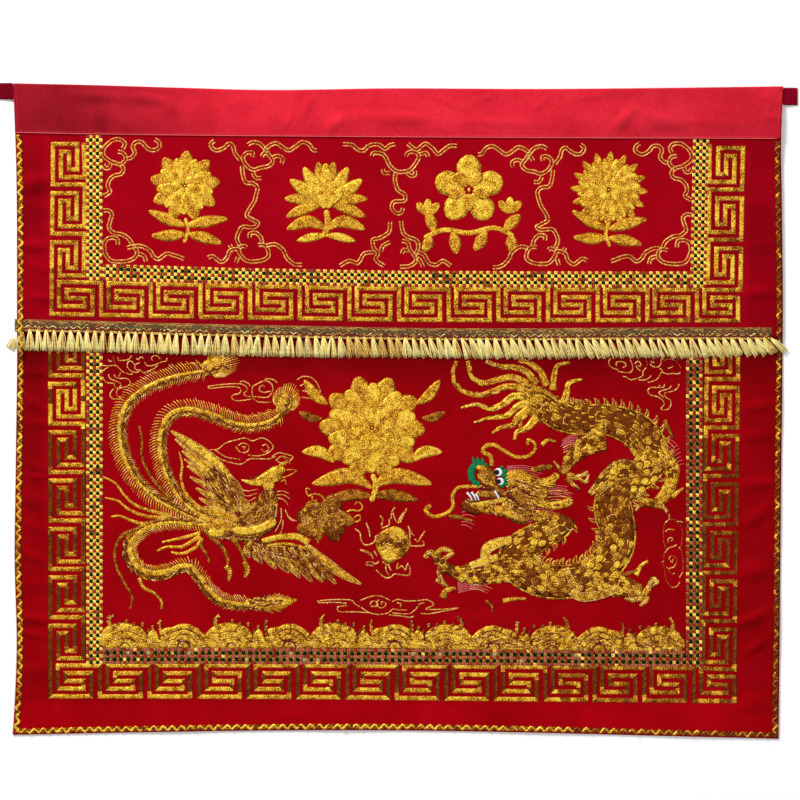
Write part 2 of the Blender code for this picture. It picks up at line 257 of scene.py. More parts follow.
# The legs of the two check ribbons, each from its start to its end
UPPER_LEGS = (
    ((94.4, 135.2), (94.4, 280.2)),
    ((102.6, 272.3), (240.0, 276.3), (400.0, 279.0), (560.0, 279.6), (690.1, 279.6)),
    ((698.3, 287.8), (701.1, 139.6)),
)
LOWER_LEGS = (
    ((94.4, 346.0), (94.4, 664.4)),
    ((102.6, 656.2), (300.0, 656.6), (500.0, 657.8), (686.2, 659.4)),
    ((694.4, 667.7), (694.4, 350.0)),
)

# The two ties: where the heading's edge is, which way they point, their tongue, width and free length
TIES = table(
    "name edge outward tongue_top tongue_bottom top bottom free",
    ("tie_left", 13.4, -1, 86.2, 98.4, 82.9, 99.3, 14.2),
    ("tie_right", 783.2, 1, 89.6, 104.0, 87.7, 105.1, 14.6),
)


def read(rows, by, name, at):
    """A smooth line through one column of a table, read at a place."""
    keys = [getattr(row, by) for row in rows]
    values = [getattr(row, name) for row in rows]
    last = len(keys) - 1
    at = min(max(at, keys[0]), keys[last])
    i = 0
    while i < last - 1 and at > keys[i + 1]:
        i += 1

    def slope(k):
        low = max(k - 1, 0)
        high = min(k + 1, last)
        return (values[high] - values[low]) / (keys[high] - keys[low])

    span = keys[i + 1] - keys[i]
    t = (at - keys[i]) / span
    blend = t * t * (3 - 2 * t)
    start = (t * (1 - t) ** 2) * span * slope(i)
    end = (t * t * (t - 1)) * span * slope(i + 1)
    return values[i] + (values[i + 1] - values[i]) * blend + start + end


def straight(rows, by, name, at):
    """A broken line through one column of a table, read at a place."""
    for first, second in zip(rows, rows[1:]):
        here = getattr(first, by)
        there = getattr(second, by)
        if at <= there:
            share = max(at - here, 0) / (there - here)
            return getattr(first, name) + share * (getattr(second, name) - getattr(first, name))
    return getattr(rows[-1], name)


def ease(t):
    """From 0 to 1 with a soft start and a soft end."""
    t = min(max(t, 0.0), 1.0)
    return t * t * (3 - 2 * t)


def place(x, y, z):
    """A place counted in steps, in metres from the cloth's middle."""
    return ((x - MID_X) * STEP, (MID_Y - y) * STEP, z)


def bump(fold, x, y):
    """A soft ridge that dies out at its own ends and sides."""
    dx = x - fold.x
    dy = y - fold.y
    reach = max(fold.long, fold.wide)
    if abs(dx) > reach or abs(dy) > reach:
        return 0.0
    turn = math.radians(fold.turn)
    along = (dx * math.cos(turn) + dy * math.sin(turn)) / fold.long
    aside = (-dx * math.sin(turn) + dy * math.cos(turn)) / fold.wide
    if abs(along) >= 1 or abs(aside) >= 1:
        return 0.0
    return fold.high * math.cos(along * math.pi / 2) ** 2 * math.cos(aside * math.pi / 2) ** 2


def lift(x, y):
    """Height of the lower panel's underside: flat but for the heading's ramp and the margin folds."""
    past = y - read(EDGES, "x", "seam", x)
    ramp = (HEADING_CLOTH + APART) * ease(1 - past / RAMP)
    return ramp + sum(bump(fold, x, y) for fold in FOLDS)


def across(u, y):
    """The place that is a share of the way from the left edge to the right one."""
    left = read(SIDES, "y", "left", y)
    right = read(SIDES, "y", "right", y)
    return left + u * (right - left)


def puckered(x, y):
    """Height that the fine puckers add to the lower panel."""
    return sum(bump(pucker, x, y) for pucker in PUCKERS)


def upper_puckered(x, y):
    """The same in the upper panel."""
    return sum(bump(pucker, x, y) for pucker in UPPER_PUCKERS)


# One step away from the light, which comes from the upper left
AWAY = (0.55, 0.83)


def lean_to_light(height, x, y):
    """How steeply a height rises away from the light."""
    dx, dy = AWAY
    return (height(x + dx, y + dy) - height(x - dx, y - dy)) / (2 * STEP)


def panel_top(x, y):
    """Height of the lower panel's face."""
    return lift(x, y) + puckered(x, y) + CLOTH


def valance_top(x, y):
    """Height of the upper panel's face."""
    return lift(x, y) + 2 * CLOTH + APART + upper_puckered(x, y)


def linear(value):
    """One channel of a colour from 0 to 255, as light."""
    value = value / 255
    return value / 12.92 if value <= 0.04045 else ((value + 0.055) / 1.055) ** 2.4


def colour(red, green, blue):
    """A colour from its three channels from 0 to 255."""
    return (linear(red), linear(green), linear(blue), 1.0)


class Nodes:
    """A short way to build a material's nodes."""

    def __init__(self, name):
        self.material = bpy.data.materials.new(name)
        self.material.use_nodes = True
        self.tree = self.material.node_tree
        self.shader = self.tree.nodes["Principled BSDF"]

    def add(self, kind, **inputs):
        node = self.tree.nodes.new(kind)
        for key, value in inputs.items():
            self.put(node, key.replace("_", " "), value)
        return node

    def join(self, socket, value):
        """Links a socket to another one, or sets it to a plain value."""
        if isinstance(value, bpy.types.NodeSocket):
            self.tree.links.new(value, socket)
        else:
            socket.default_value = value

    def put(self, node, key, value):
        self.join(node.inputs[key], value)

    def set(self, **inputs):
        for key, value in inputs.items():
            self.put(self.shader, key.replace("_", " "), value)

    def ramp(self, fac, *stops):
        """Colours that follow a value. Each stop is the value and its colour."""
        node = self.tree.nodes.new("ShaderNodeValToRGB")
        self.tree.links.new(fac, node.inputs["Fac"])
        bar = node.color_ramp
        while len(bar.elements) < len(stops):
            bar.elements.new(0.5)
        for element, (at, value) in zip(bar.elements, stops):
            element.position = at
            element.color = value
        return node.outputs["Color"]

    def math(self, what, a, b):
        node = self.tree.nodes.new("ShaderNodeMath")
        node.operation = what
        for socket, value in zip(node.inputs, (a, b)):
            self.join(socket, value)
        return node.outputs["Value"]

    def multiply(self, a, b):
        """One colour times another. The node has its share first and its two colours later."""
        node = self.tree.nodes.new("ShaderNodeMix")
        node.data_type = "RGBA"
        node.blend_type = "MULTIPLY"
        for number, value in ((0, 1.0), (6, a), (7, b)):
            self.join(node.inputs[number], value)
        return node.outputs[2]

    def thread(self):
        """Places along and across the thread."""
        uv = self.add("ShaderNodeUVMap")
        uv.uv_map = "thread"
        return uv.outputs["UV"]

    def mapped(self, source, scale):
        node = self.add("ShaderNodeMapping", Vector=source)
        node.inputs["Scale"].default_value = scale
        return node.outputs["Vector"]

    def noise(self, vector, scale, detail=2.0, rough=0.5):
        node = self.add("ShaderNodeTexNoise", Vector=vector, Scale=scale, Detail=detail, Roughness=rough)
        return node.outputs["Fac"]

    def bump(self, height, strength, distance):
        node = self.add("ShaderNodeBump", Height=height, Strength=strength, Distance=distance)
        self.tree.links.new(node.outputs["Normal"], self.shader.inputs["Normal"])


# Threads of the plain cloth for each metre, and bands of a wave texture for each unit of its scale
CLOTH_THREADS = 1500.0
WAVE_TURNS = 20.0 / (2 * math.pi)

# Gold thread: its width, the lengths of a streak and of a patch, and how much a patch changes it
STITCH = 0.0014
STREAK = 0.0021
PATCH = 0.0075
PATCHY = 0.34
THREAD_GAP = (92, 14, 4)
GILT_CUTS = (0.37, 0.41, 0.5, 0.585)
GILT_METAL = 0.3

# One strand of yarn
STRAND = 0.0006

# How strongly and how deep the threads of each kind show
WEAVE_BUMP = (0.35, 0.00012)
STITCH_BUMP = (0.22, 0.0002)
TWIST_BUMP = (0.4, 0.0002)


def cloth(name, deep, main, fresh, thread=CLOTH_THREADS, rough=0.72, sheen=0.12, uneven=9.0):
    """A plain woven cloth with its own threads, slow changes of colour and a soft sheen."""
    m = Nodes(name)
    where = m.add("ShaderNodeTexCoord").outputs["Object"]
    slow = m.noise(where, uneven, 3.0, 0.6)
    tone = m.ramp(slow, (0.36, colour(*deep)), (0.5, colour(*main)), (0.64, colour(*fresh)))
    # The shade attribute carries the painted shade and painted light of the shade functions below
    shade = m.add("ShaderNodeAttribute")
    shade.attribute_name = "shade"
    lit = m.multiply(tone, shade.outputs["Color"])
    fine = m.noise(m.mapped(where, (1.0, 0.3, 1.0)), thread * 0.6, 1.0)
    speck = m.ramp(fine, (0.3, (0.86, 0.86, 0.86, 1)), (0.7, (1.1, 1.1, 1.1, 1)))
    m.set(Base_Color=m.multiply(lit, speck))
    warp = m.add("ShaderNodeTexWave", Vector=where, Scale=thread / WAVE_TURNS)
    weft = m.add("ShaderNodeTexWave", Vector=where, Scale=thread / WAVE_TURNS)
    weft.bands_direction = "Y"
    weave = m.math("MULTIPLY", warp.outputs["Fac"], weft.outputs["Fac"])
    m.bump(weave, *WEAVE_BUMP)
    m.set(Roughness=m.math("ADD", m.math("MULTIPLY", fine, 0.16), rough - 0.08))
    m.set(Specular_IOR_Level=0.12, Sheen_Weight=sheen, Sheen_Roughness=0.45)
    m.shader.inputs["Specular Tint"].default_value = (1.0, 0.12, 0.12, 1.0)
    m.shader.inputs["Sheen Tint"].default_value = (1.0, 0.06, 0.08, 1.0)
    return m.material


def gilt(name, dark, mid, light):
    """Gold thread laid side by side across its line, with bright and dull threads and dark gaps."""
    m = Nodes(name)
    where = m.thread()
    fine = m.noise(m.mapped(where, (1 / STITCH, 1 / STREAK, 1.0)), 1.0, 3.0, 0.7)
    around = m.add("ShaderNodeTexCoord").outputs["Object"]
    patches = m.noise(around, 1 / PATCH, 2.0, 0.6)
    streaks = m.math("ADD", fine, m.math("MULTIPLY", m.math("SUBTRACT", patches, 0.5), PATCHY))
    tones = [colour(*tone) for tone in (THREAD_GAP, dark, mid, light)]
    m.set(Base_Color=m.ramp(streaks, *zip(GILT_CUTS, tones)))
    lines = m.add("ShaderNodeTexWave", Vector=where, Scale=1.6 / STITCH / WAVE_TURNS, Distortion=0.6)
    lines.bands_direction = "X"
    raised = m.math("ADD", m.math("MULTIPLY", lines.outputs["Fac"], 0.5), streaks)
    m.bump(raised, *STITCH_BUMP)
    m.set(Roughness=m.math("ADD", m.math("MULTIPLY", streaks, -0.35), 0.58))
    m.set(Metallic=GILT_METAL, Specular_IOR_Level=0.3)
    m.shader.inputs["Specular Tint"].default_value = (1.0, 0.72, 0.26, 1.0)
    return m.material


def yarn(name, dark, mid, light, rough=0.62, gloss=0.06):
    """Spun yarn with its own twist."""
    m = Nodes(name)
    where = m.thread()
    uneven = m.noise(m.mapped(where, (1 / STRAND / 3, 1 / STRAND, 1.0)), 1.0, 2.0, 0.6)
    m.set(Base_Color=m.ramp(uneven, (0.34, colour(*dark)), (0.5, colour(*mid)), (0.66, colour(*light))))
    twist = m.add("ShaderNodeTexWave", Vector=where, Scale=1 / STRAND / WAVE_TURNS)
    twist.bands_direction = "DIAGONAL"
    m.bump(twist.outputs["Fac"], *TWIST_BUMP)
    m.set(Roughness=m.math("ADD", m.math("MULTIPLY", uneven, 0.2), rough - 0.1))
    m.set(Specular_IOR_Level=gloss * 2, Sheen_Weight=gloss)
    return m.material


class Piece:
    """Points and faces of many small parts joined into one mesh, with a tone for each face."""

    def __init__(self, name, slot, **tones):
        self.name = name
        self.slot = slot
        self.tones = list(tones)
        self.materials = list(tones.values())
        self.points = []
        self.faces = []
        self.kinds = []
        self.threads = []
        self.shades = []

    def add(self, points, faces, tone, threads=None):
        """Adds one part. threads gives each point its place along and across the thread."""
        first = len(self.points)
        self.points += points
        self.threads += threads or [(x * STEP, y * STEP) for x, y, z in points]
        self.faces += [tuple(first + k for k in face) for face in faces]
        kind = tone if isinstance(tone, list) else [tone] * len(faces)
        self.kinds += [self.tones.index(k) for k in kind]

    def finish(self, replaced=(), shade=None):
        mesh = bpy.data.meshes.new(self.name)
        mesh.from_pydata([place(*p) for p in self.points], [], self.faces)
        mesh.polygons.foreach_set("material_index", self.kinds)
        mesh.polygons.foreach_set("use_smooth", [True] * len(mesh.polygons))
        layer = mesh.uv_layers.new(name="thread")
        corners = [0] * len(mesh.loops)
        mesh.loops.foreach_get("vertex_index", corners)
        flat = []
        for k in corners:
            flat += self.threads[k]
        layer.data.foreach_set("uv", flat)
        tint = mesh.attributes.new("shade", "FLOAT_COLOR", "POINT")
        values = []
        for x, y, z in self.points:
            v = shade(x, y) if shade else 1.0
            values += (v, v, v, 1.0)
        tint.data.foreach_set("color", values)
        for material in self.materials:
            mesh.materials.append(material)
        mesh.validate()
        mesh.update()
        piece = bpy.data.objects.new(self.name, mesh)
        bpy.context.scene.collection.objects.link(piece)
        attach(piece, "root")
        if replaced:
            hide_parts(*replaced)
        return piece


def smooth(path, step=2.0):
    """Points about a step apart on a smooth line through the given ones."""
    out = []
    last = len(path) - 1
    for i in range(last):
        p0 = path[max(i - 1, 0)]
        p1 = path[i]
        p2 = path[i + 1]
        p3 = path[min(i + 2, last)]
        parts = max(1, math.ceil(math.dist(p1[:2], p2[:2]) / step))
        for k in range(parts):
            t = k / parts
            point = []
            for a, b, c, d in zip(p0, p1, p2, p3):
                near = (2 * a - 5 * b + 4 * c - d) * t * t
                far = (3 * b - a - 3 * c + d) * t ** 3
                point.append(0.5 * (2 * b + (c - a) * t + near + far))
            out.append(tuple(point))
    out.append(tuple(path[last]))
    return out


def sides(path, corner=2.2):
    """For each point of a line, the unit step to its right hand, lengthened where the line turns."""
    out = []
    last = len(path) - 1
    for i in range(last + 1):
        a = path[max(i - 1, 0)]
        b = path[i]
        c = path[min(i + 1, last)]
        first = math.atan2(b[1] - a[1], b[0] - a[0]) if i else None
        second = math.atan2(c[1] - b[1], c[0] - b[0]) if i < last else first
        first = second if first is None else first
        bend = (second - first + math.pi) % (2 * math.pi) - math.pi
        mid = first + bend / 2
        longer = min(1 / max(math.cos(bend / 2), 0.3), corner)
        out.append((-math.sin(mid) * longer, math.cos(mid) * longer))
    return out


# How far stitches sink into the cloth, and the width under which they stand lower
SINK = 0.00012
NARROW = 2.0

# Heights of a fine thread, of a laid line and of satin stitches over what they lie on
FINE = 0.0005
LINE = 0.0006
SATIN = 0.0009

# Cross sections of a run of stitches by their count of ribs: shares of its width and of its height
SECTIONS = {
    3: ((-0.5, 0.0), (0.0, 1.0), (0.5, 0.0)),
    5: ((-0.5, 0.0), (-0.28, 0.85), (0.0, 1.0), (0.28, 0.85), (0.5, 0.0)),
}


def band(piece, path, wide, tone, high=LINE, ground=panel_top, over=0.0, ribs=3):
    """A raised run of stitches along a line. wide is one width, or a width for each point."""
    count = len(path)
    widths = list(wide) if isinstance(wide, (list, tuple)) else [wide] * count
    section = SECTIONS[ribs]
    many = len(section)
    points = []
    threads = []
    passed = 0.0
    turned = sides(path)
    for i, (here, side) in enumerate(zip(path, turned)):
        if i:
            passed += math.dist(here[:2], path[i - 1][:2])
        w = widths[i]
        base = ground(here[0], here[1]) + over
        full = high * min(1.0, w / NARROW)
        for at, up in section:
            x = here[0] + side[0] * at * w
            y = here[1] + side[1] * at * w
            points.append((x, y, base - SINK + (full + SINK) * up))
            threads.append((passed * STEP, at * w * STEP))
    faces = []
    kinds = []
    for i in range(count - 1):
        a = i * many
        b = a + many
        kind = tone[i] if isinstance(tone, list) else tone
        for k in range(many - 1):
            faces.append((a + k + 1, a + k, b + k, b + k + 1))
        faces.append((a, a + many - 1, b + many - 1, b))
        kinds += [kind] * many
    end = (count - 1) * many
    faces.append(tuple(range(many)))
    faces.append(tuple(range(end + many - 1, end - 1, -1)))
    kinds += [kinds[0], kinds[-1]]
    piece.add(points, faces, kinds, threads)


def leaf(piece, path, widest, tone, peak=0.4, tip=0.12, step=2.5, **more):
    """A pointed shape of stitches along a line: narrow at its ends and widest in between."""
    line = smooth(path, step)
    last = len(line) - 1
    widths = []
    for i in range(last + 1):
        t = i / last
        rise = t / peak if t < peak else (1 - t) / (1 - peak)
        widths.append(widest * (tip + (1 - tip) * math.sin(rise * math.pi / 2)))
    band(piece, line, widths, tone, ribs=5 if widest > 3 else 3, **more)


def taper(piece, path, start, end, tone, step=2.5, **more):
    """A run of stitches along a smooth line, from one width to another."""
    line = smooth(path, step)
    last = len(line) - 1
    widths = [start + (end - start) * i / last for i in range(last + 1)]
    band(piece, line, widths, tone, **more)


def cord(piece, path, half, tone, rounds=4, flat=1.0):
    """A round cord along a line of places with heights of its middle. half is in steps."""
    points = []
    threads = []
    passed = 0.0
    for i, (here, side) in enumerate(zip(path, sides(path))):
        if i:
            passed += math.dist(here[:2], path[i - 1][:2])
        for k in range(rounds):
            angle = 2 * math.pi * (k + 0.5) / rounds
            out = math.cos(angle) * half
            up = math.sin(angle) * half * STEP * flat
            points.append((here[0] + side[0] * out, here[1] + side[1] * out, here[2] + up))
            threads.append((passed * STEP, k / rounds * 6 * half * STEP))
    faces = []
    kinds = []
    for i in range(len(path) - 1):
        kinds += [tone[i] if isinstance(tone, list) else tone] * rounds
        for k in range(rounds):
            a = i * rounds + k
            b = i * rounds + (k + 1) % rounds
            faces.append((b, a, a + rounds, b + rounds))
    end = (len(path) - 1) * rounds
    faces.append(tuple(range(rounds)))
    faces.append(tuple(range(end + rounds - 1, end - 1, -1)))
    piece.add(points, faces, kinds + [kinds[0], kinds[-1]], threads)


def pick(chance, *steps, other):
    """The first tone whose limit is over a chance, or else the other one."""
    for limit, tone in steps:
        if chance < limit:
            return tone
    return other


# Materials of the cloths
PANEL_RED = cloth("panel_red", (134, 0, 6), (142, 0, 8), (149, 1, 11))
VALANCE_RED = cloth("valance_red", (142, 0, 14), (150, 0, 17), (157, 1, 20))
HEADING_RED = cloth(
    "heading_red", (200, 30, 47), (208, 33, 51), (215, 38, 56),
    thread=1200.0, rough=0.8, sheen=0.25, uneven=14.0,
)
TIE_RED = cloth("tie_red", (96, 2, 14), (112, 2, 22), (128, 4, 30), thread=900.0)

# Materials of the gold stitching: lighter and darker copies of one gold thread. The tone a run takes stands
# partly for the thread's own uneven colour and partly for painted reflection, the thread glinting or going
# dark by its direction and its place on the cloth
BRIGHT = gilt("gold_bright", (146, 70, 8), (234, 170, 28), (255, 230, 88))
GOLD = gilt("gold_middle", (108, 44, 6), (202, 126, 20), (252, 208, 68))
BRONZE = gilt("gold_bronze", (68, 22, 3), (118, 54, 9), (212, 144, 40))
DARK = gilt("gold_dark", (58, 14, 2), (96, 36, 4), (140, 74, 12))
GOLD_DIMMER = gilt("gold_worn", (82, 30, 4), (168, 96, 17), (250, 206, 68))
BRAID_GROUND = yarn("braid_ground", (74, 22, 16), (112, 52, 28), (150, 92, 44))
BRAID_BROWN = yarn("braid_brown", (110, 62, 30), (150, 98, 50), (190, 138, 76))
BRAID_GOLD = yarn("braid_gold", (150, 104, 36), (204, 158, 70), (244, 212, 120))
BRAID_GREEN = yarn("braid_green", (18, 34, 20), (50, 76, 44), (110, 132, 78))
BRAID_WINE = yarn("braid_wine", (70, 8, 12), (112, 20, 20), (150, 48, 36))
TASSEL_PALE = yarn("tassel_pale", (246, 214, 112), (255, 244, 158), (255, 254, 206), rough=0.5, gloss=0.12)
TASSEL_STRAW = yarn("tassel_straw", (216, 166, 66), (252, 216, 104), (255, 236, 140), rough=0.5, gloss=0.12)
TASSEL_TAN = yarn("tassel_tan", (150, 98, 38), (198, 146, 68), (226, 180, 100), rough=0.5, gloss=0.12)
VINE = gilt("vine_gold", (136, 54, 14), (214, 136, 42), (254, 216, 104))
CREAM = gilt("gold_pale", (150, 74, 28), (228, 164, 80), (255, 230, 148))
DEEP_WINE = yarn("deep_wine", (60, 4, 4), (96, 8, 8), (130, 26, 14))
HAIR_PINK = yarn("hair_pink", (150, 44, 50), (196, 92, 92), (222, 140, 130))
LEAF_GREEN = yarn("leaf_green", (0, 62, 34), (0, 108, 58), (14, 146, 84))
EYE_WHITE = yarn("eye_white", (206, 206, 214), (238, 238, 242), (255, 255, 255))
EYE_BLACK = yarn("eye_black", (6, 4, 8), (14, 10, 14), (34, 26, 30))
CHECK_GOLD = gilt("check_gold", (196, 132, 20), (244, 204, 52), (255, 240, 120))
# The gold check in a dark tone, mostly painted reflection where the gold thread turns dark
CHECK_DULL = gilt("check_dull", (56, 28, 8), (110, 68, 20), (196, 142, 56))
CHECK_GREEN = yarn("check_green", (4, 9, 4), (10, 22, 9), (24, 44, 18), gloss=0.01)
CHECK_RED = yarn("check_red", (104, 6, 10), (150, 14, 22), (178, 40, 44))
CHECK_PINK = yarn("check_pink", (110, 18, 22), (168, 60, 62), (226, 124, 118))
CHECK_PALE = yarn("check_pale", (130, 96, 70), (176, 136, 96), (214, 190, 150))
SEAM_THREAD = yarn("seam_thread", (206, 60, 66), (232, 88, 92), (248, 120, 118))


def cloth_sheet(name, slot, material, rows, rest, thick, replaced, shade):
    """A closed sheet from rows of places, raised from its underside by its own thickness."""
    high = len(rows)
    wide = len(rows[0])
    count = high * wide
    points = [(x, y, rest(x, y)) for row in rows for x, y in row]
    points += [(x, y, z + thick) for x, y, z in points]
    faces = []
    for j in range(high - 1):
        for i in range(wide - 1):
            a = j * wide + i
            low = (a, a + 1, a + wide + 1, a + wide)
            faces.append(low)
            faces.append(tuple(count + k for k in low[::-1]))
    rim = list(range(wide))
    rim += [j * wide + wide - 1 for j in range(1, high)]
    rim += [(high - 1) * wide + i for i in range(wide - 2, -1, -1)]
    rim += [j * wide for j in range(high - 2, 0, -1)]
    for a, b in zip(rim, rim[1:] + rim[:1]):
        faces.append((b, a, count + a, count + b))
    piece = Piece(name, slot, cloth=material)
    piece.add(points, faces, "cloth")
    return piece.finish(replaced, shade)


def spread(coarse, fine, margin):
    """Shares across the cloth: fine in the margins, coarse between them."""
    out = [k / fine * margin for k in range(fine)]
    out += [margin + k / coarse * (1 - 2 * margin) for k in range(coarse)]
    out += [1 - margin + k / fine * margin for k in range(fine + 1)]
    return out


def cloth_rows(shares, bottom, heights):
    """Rows of places from under the heading down to a lower edge."""
    tops = []
    for u in shares:
        guess = across(u, read(EDGES, "x", "seam", u * 2 * MID_X))
        tops.append((guess, read(EDGES, "x", "seam", guess) - TUCK, bottom(guess)))
    rows = []
    for t in heights:
        row = []
        for u, (guess, top, low) in zip(shares, tops):
            y = top + t * (low - top)
            row.append((across(u, y), y))
        rows.append(row)
    return rows


def stepped(parts):
    """Heights from 0 to 1 in parts: each is (end, count)."""
    out = [0.0]
    for end, count in parts:
        start = out[-1]
        out += [start + (end - start) * (k + 1) / count for k in range(count)]
    return out


# How strongly painted shade and painted light follow a fold's slopes on the cloth, and on the heading: slopes
# facing the light are painted lighter, slopes turned from it darker
FOLD_PAINTED_SHADE = 1.1
HEADING_PAINTED_SHADE = 0.45 * FOLD_PAINTED_SHADE


def panel_shade(x, y):
    """The cloth is a little duller to the right and in its margins and lighter along the bottom, with painted
    shadow just under the fringe and painted shade and light on the slopes of its puckers.
    """
    dull = 0.05 * ease((x - 300) / 480)
    # Painted shadow that the fringe casts on the cloth just under it
    painted_fringe_shadow = 0.42 * ease(1 - (y - 352) / 46)
    high = ease(1 - (y - 380) / 300)
    margins = (0.27 * ease((50 - x) / 14) + 0.06 * ease((x - 736) / 14)) * high
    fresh = 0.24 * ease((y - 696) / 12)
    # Painted shade and painted light on the slopes of the puckers, by how they face the light
    folds = FOLD_PAINTED_SHADE * lean_to_light(puckered, x, y)
    return (1.0 - dull - margins + fresh) * (1.0 - painted_fringe_shadow) * (1.0 + folds)


def valance_shade(x, y):
    """The upper panel is duller in its margins, with a patch of painted shade in its right margin, painted
    shadow round its raised key border, and painted shade and light on the slopes of its puckers.
    """
    left = ease((52 - x) / 14) * (0.2 + 0.12 * math.sin((y - 150) / 26))
    # Duller in the right margin, with a patch of painted shade in it
    right = 0.16 * ease((x - 742) / 10) + 0.1 * bump_share(x, y, 758, 248, 30, 34)
    # Painted shadow on the cloth between and around the raised lines of the key border
    if 50 < x < 84 or 707 < x < 741 or (y > 284 and 50 < x < 741):
        left += 0.2
    # Painted shade and painted light on the slopes of the puckers
    return (1.0 - left - right) * (1.0 + FOLD_PAINTED_SHADE * lean_to_light(upper_puckered, x, y))


# Patches of painted shade in the heading's creases: how dark, and their middle and half sizes
HEADING_CREASE_SHADE = (
    (0.06, (50, 112, 40, 26)),
    (0.14, (94, 101, 30, 10)),
    (0.16, (146, 103, 30, 9)),
    (0.12, (172, 114, 16, 10)),
    (0.12, (100, 122, 16, 16)),
    (0.12, (404, 127, 40, 9)),
    (0.12, (350, 127, 26, 8)),
    (0.16, (622, 126, 18, 12)),
    (0.2, (664, 130, 30, 7)),
    (0.1, (615, 96, 26, 7)),
    (0.1, (305, 108, 18, 22)),
)


def bump_share(x, y, middle_x, middle_y, long, wide):
    """From 0 to 1 over a soft oval."""
    far = math.hypot((x - middle_x) / long, (y - middle_y) / wide)
    return ease(1 - far)


def heading_folds(x, y):
    """Height of all the heading's creases."""
    return sum(bump(crease, x, y) for crease in CREASES) + sum(bump(crease, x, y) for crease in FINE_CREASES)


def heading_shade(x, y):
    """The heading has painted shade: darker to its left and right and along its seam as the light falls, in a
    few of its creases, and on the slopes of its creases.
    """
    # Painted shade: much darker to the left and a little to the right, as the light falls on the heading
    left = 0.56 * ease((264 - x) / 205)
    right = 0.13 * ease((x - 520) / 180)
    # Painted shade towards the seam, less of it at the left end
    low = 0.10 * ease((y - 112) / 24)
    fall = low * (1 if x > 120 else 0.4)
    # Painted shade in the creases
    painted_crease_shade = sum(dark * bump_share(x, y, *oval) for dark, oval in HEADING_CREASE_SHADE)
    # Painted shade and painted light on the slopes of the creases
    return (1.0 - left - right - fall - painted_crease_shade) * (1.0 + HEADING_PAINTED_SHADE * lean_to_light(heading_folds, x, y))


WIDE = read(SIDES, "y", "right", 400) - read(SIDES, "y", "left", 400)
panel_rows = cloth_rows(
    spread(46, 20, 0.055),
    lambda x: read(EDGES, "x", "hem", x),
    stepped(((0.075, 16), (0.37, 12), (1.0, 130))),
)
panel = cloth_sheet(
    "cloth_panel", "lower_panel", PANEL_RED, panel_rows,
    lambda x, y: lift(x, y) + puckered(x, y), CLOTH, ("lower_panel",), panel_shade,
)
valance_rows = cloth_rows(
    spread(60, 14, 0.05),
    lambda x: read(BRAID, "x", "top", x) + BRAID_OVER,
    stepped(((0.22, 16), (1.0, 54))),
)
valance = cloth_sheet(
    "cloth_valance", "valance", VALANCE_RED, valance_rows,
    lambda x, y: valance_top(x, y) - CLOTH, CLOTH, ("valance",), valance_shade,
)


def heading_rest(x, y):
    """Underside of the heading's front: low at the fold, over the panels at the seam."""
    top = read(EDGES, "x", "top", x)
    seam = read(EDGES, "x", "seam", x)
    start = top + 4
    end = seam - TUCK - 2
    low = HEADING_CLOTH + SLEEVE_GAP
    base = low + (SEAM_REST - low) * ease((y - start) / (end - start))
    fade = ease((y - start) / 5) * ease((seam + 4 - y) / 8)
    edge = ease((seam - 1 - y) / 6)
    fine = edge * sum(bump(crease, x, y) for crease in FINE_CREASES)
    return base + fade * (fine + sum(bump(crease, x, y) for crease in CREASES))


def heading():
    """One cloth folded over at the top, with a front and a back layer."""
    columns = 260
    rows = 22
    fold_steps = 8
    back_rows = 2
    outer_round = (2 * HEADING_CLOTH + SLEEVE_GAP) / 2
    inner_round = SLEEVE_GAP / 2
    points = []
    for i in range(columns + 1):
        u = i / columns
        guess = across(u, 100)
        top = read(EDGES, "x", "top", guess)
        seam = read(EDGES, "x", "seam", guess)
        turn_y = top + outer_round / STEP
        outer = []
        inner = []
        for j in range(rows):
            y = seam + (turn_y - seam) * j / rows
            z = heading_rest(guess, y)
            outer.append((y, z + HEADING_CLOTH))
            inner.append((y, z))
        for j in range(fold_steps + 1):
            angle = math.pi * j / fold_steps
            back = math.sin(angle) / STEP
            rise = math.cos(angle)
            outer.append((turn_y - outer_round * back, outer_round + outer_round * rise))
            inner.append((turn_y - inner_round * back, outer_round + inner_round * rise))
        for j in range(back_rows):
            y = turn_y + (seam - 2 - turn_y) * (j + 1) / back_rows
            outer.append((y, 0.0))
            inner.append((y, HEADING_CLOTH))
        for y, z in outer + inner[::-1]:
            points.append((across(u, y), y, z))
    ring = len(points) // (columns + 1)
    half = ring // 2
    faces = []
    for i in range(columns):
        for j in range(ring):
            a = i * ring + j
            b = i * ring + (j + 1) % ring
            faces.append((b, a, a + ring, b + ring))
    for j in range(half - 1):
        left = (j, j + 1, ring - 2 - j, ring - 1 - j)
        faces.append(left)
        faces.append(tuple(columns * ring + k for k in left[::-1]))
    piece = Piece("heading_cloth", "heading", cloth=HEADING_RED)
    piece.add(points, faces, "cloth")
    done = piece.finish(("heading",), heading_shade)


heading()


def seam_line():
    """The rolled lower edge of the heading with its row of stitches, and its two side hems."""
    piece = Piece("heading_seam", "heading", thread=SEAM_THREAD)
    line = []
    x = SIDES[1].left + 1
    while x < SIDES[1].right - 1:
        y = read(EDGES, "x", "seam", x) - 0.5
        line.append((x, y))
        x += 4.0
    band(piece, line, 1.1, "thread", high=0.0004, over=HEADING_CLOTH, ground=heading_rest)
    random.seed(4)
    x = SIDES[1].left + 3
    while x < SIDES[1].right - 4:
        y = read(EDGES, "x", "seam", x) - 2.1
        stitch = [(x, y), (x + 1.1, y + 0.05), (x + 2.1, y)]
        band(piece, stitch, 0.5, "thread", high=0.00025, over=HEADING_CLOTH, ground=heading_rest)
        x += 2.9
    for side in ("left", "right"):
        inward = 2.8 if side == "left" else -2.8
        y = 93.0
        while y < 131:
            x = read(SIDES, "y", side, y) + inward
            stitch = [(x, y), (x, y + 1.9)]
            band(piece, stitch, 0.45, "thread", high=0.0002, over=HEADING_CLOTH, ground=heading_rest)
            y += 3.0
    piece.finish()


seam_line()


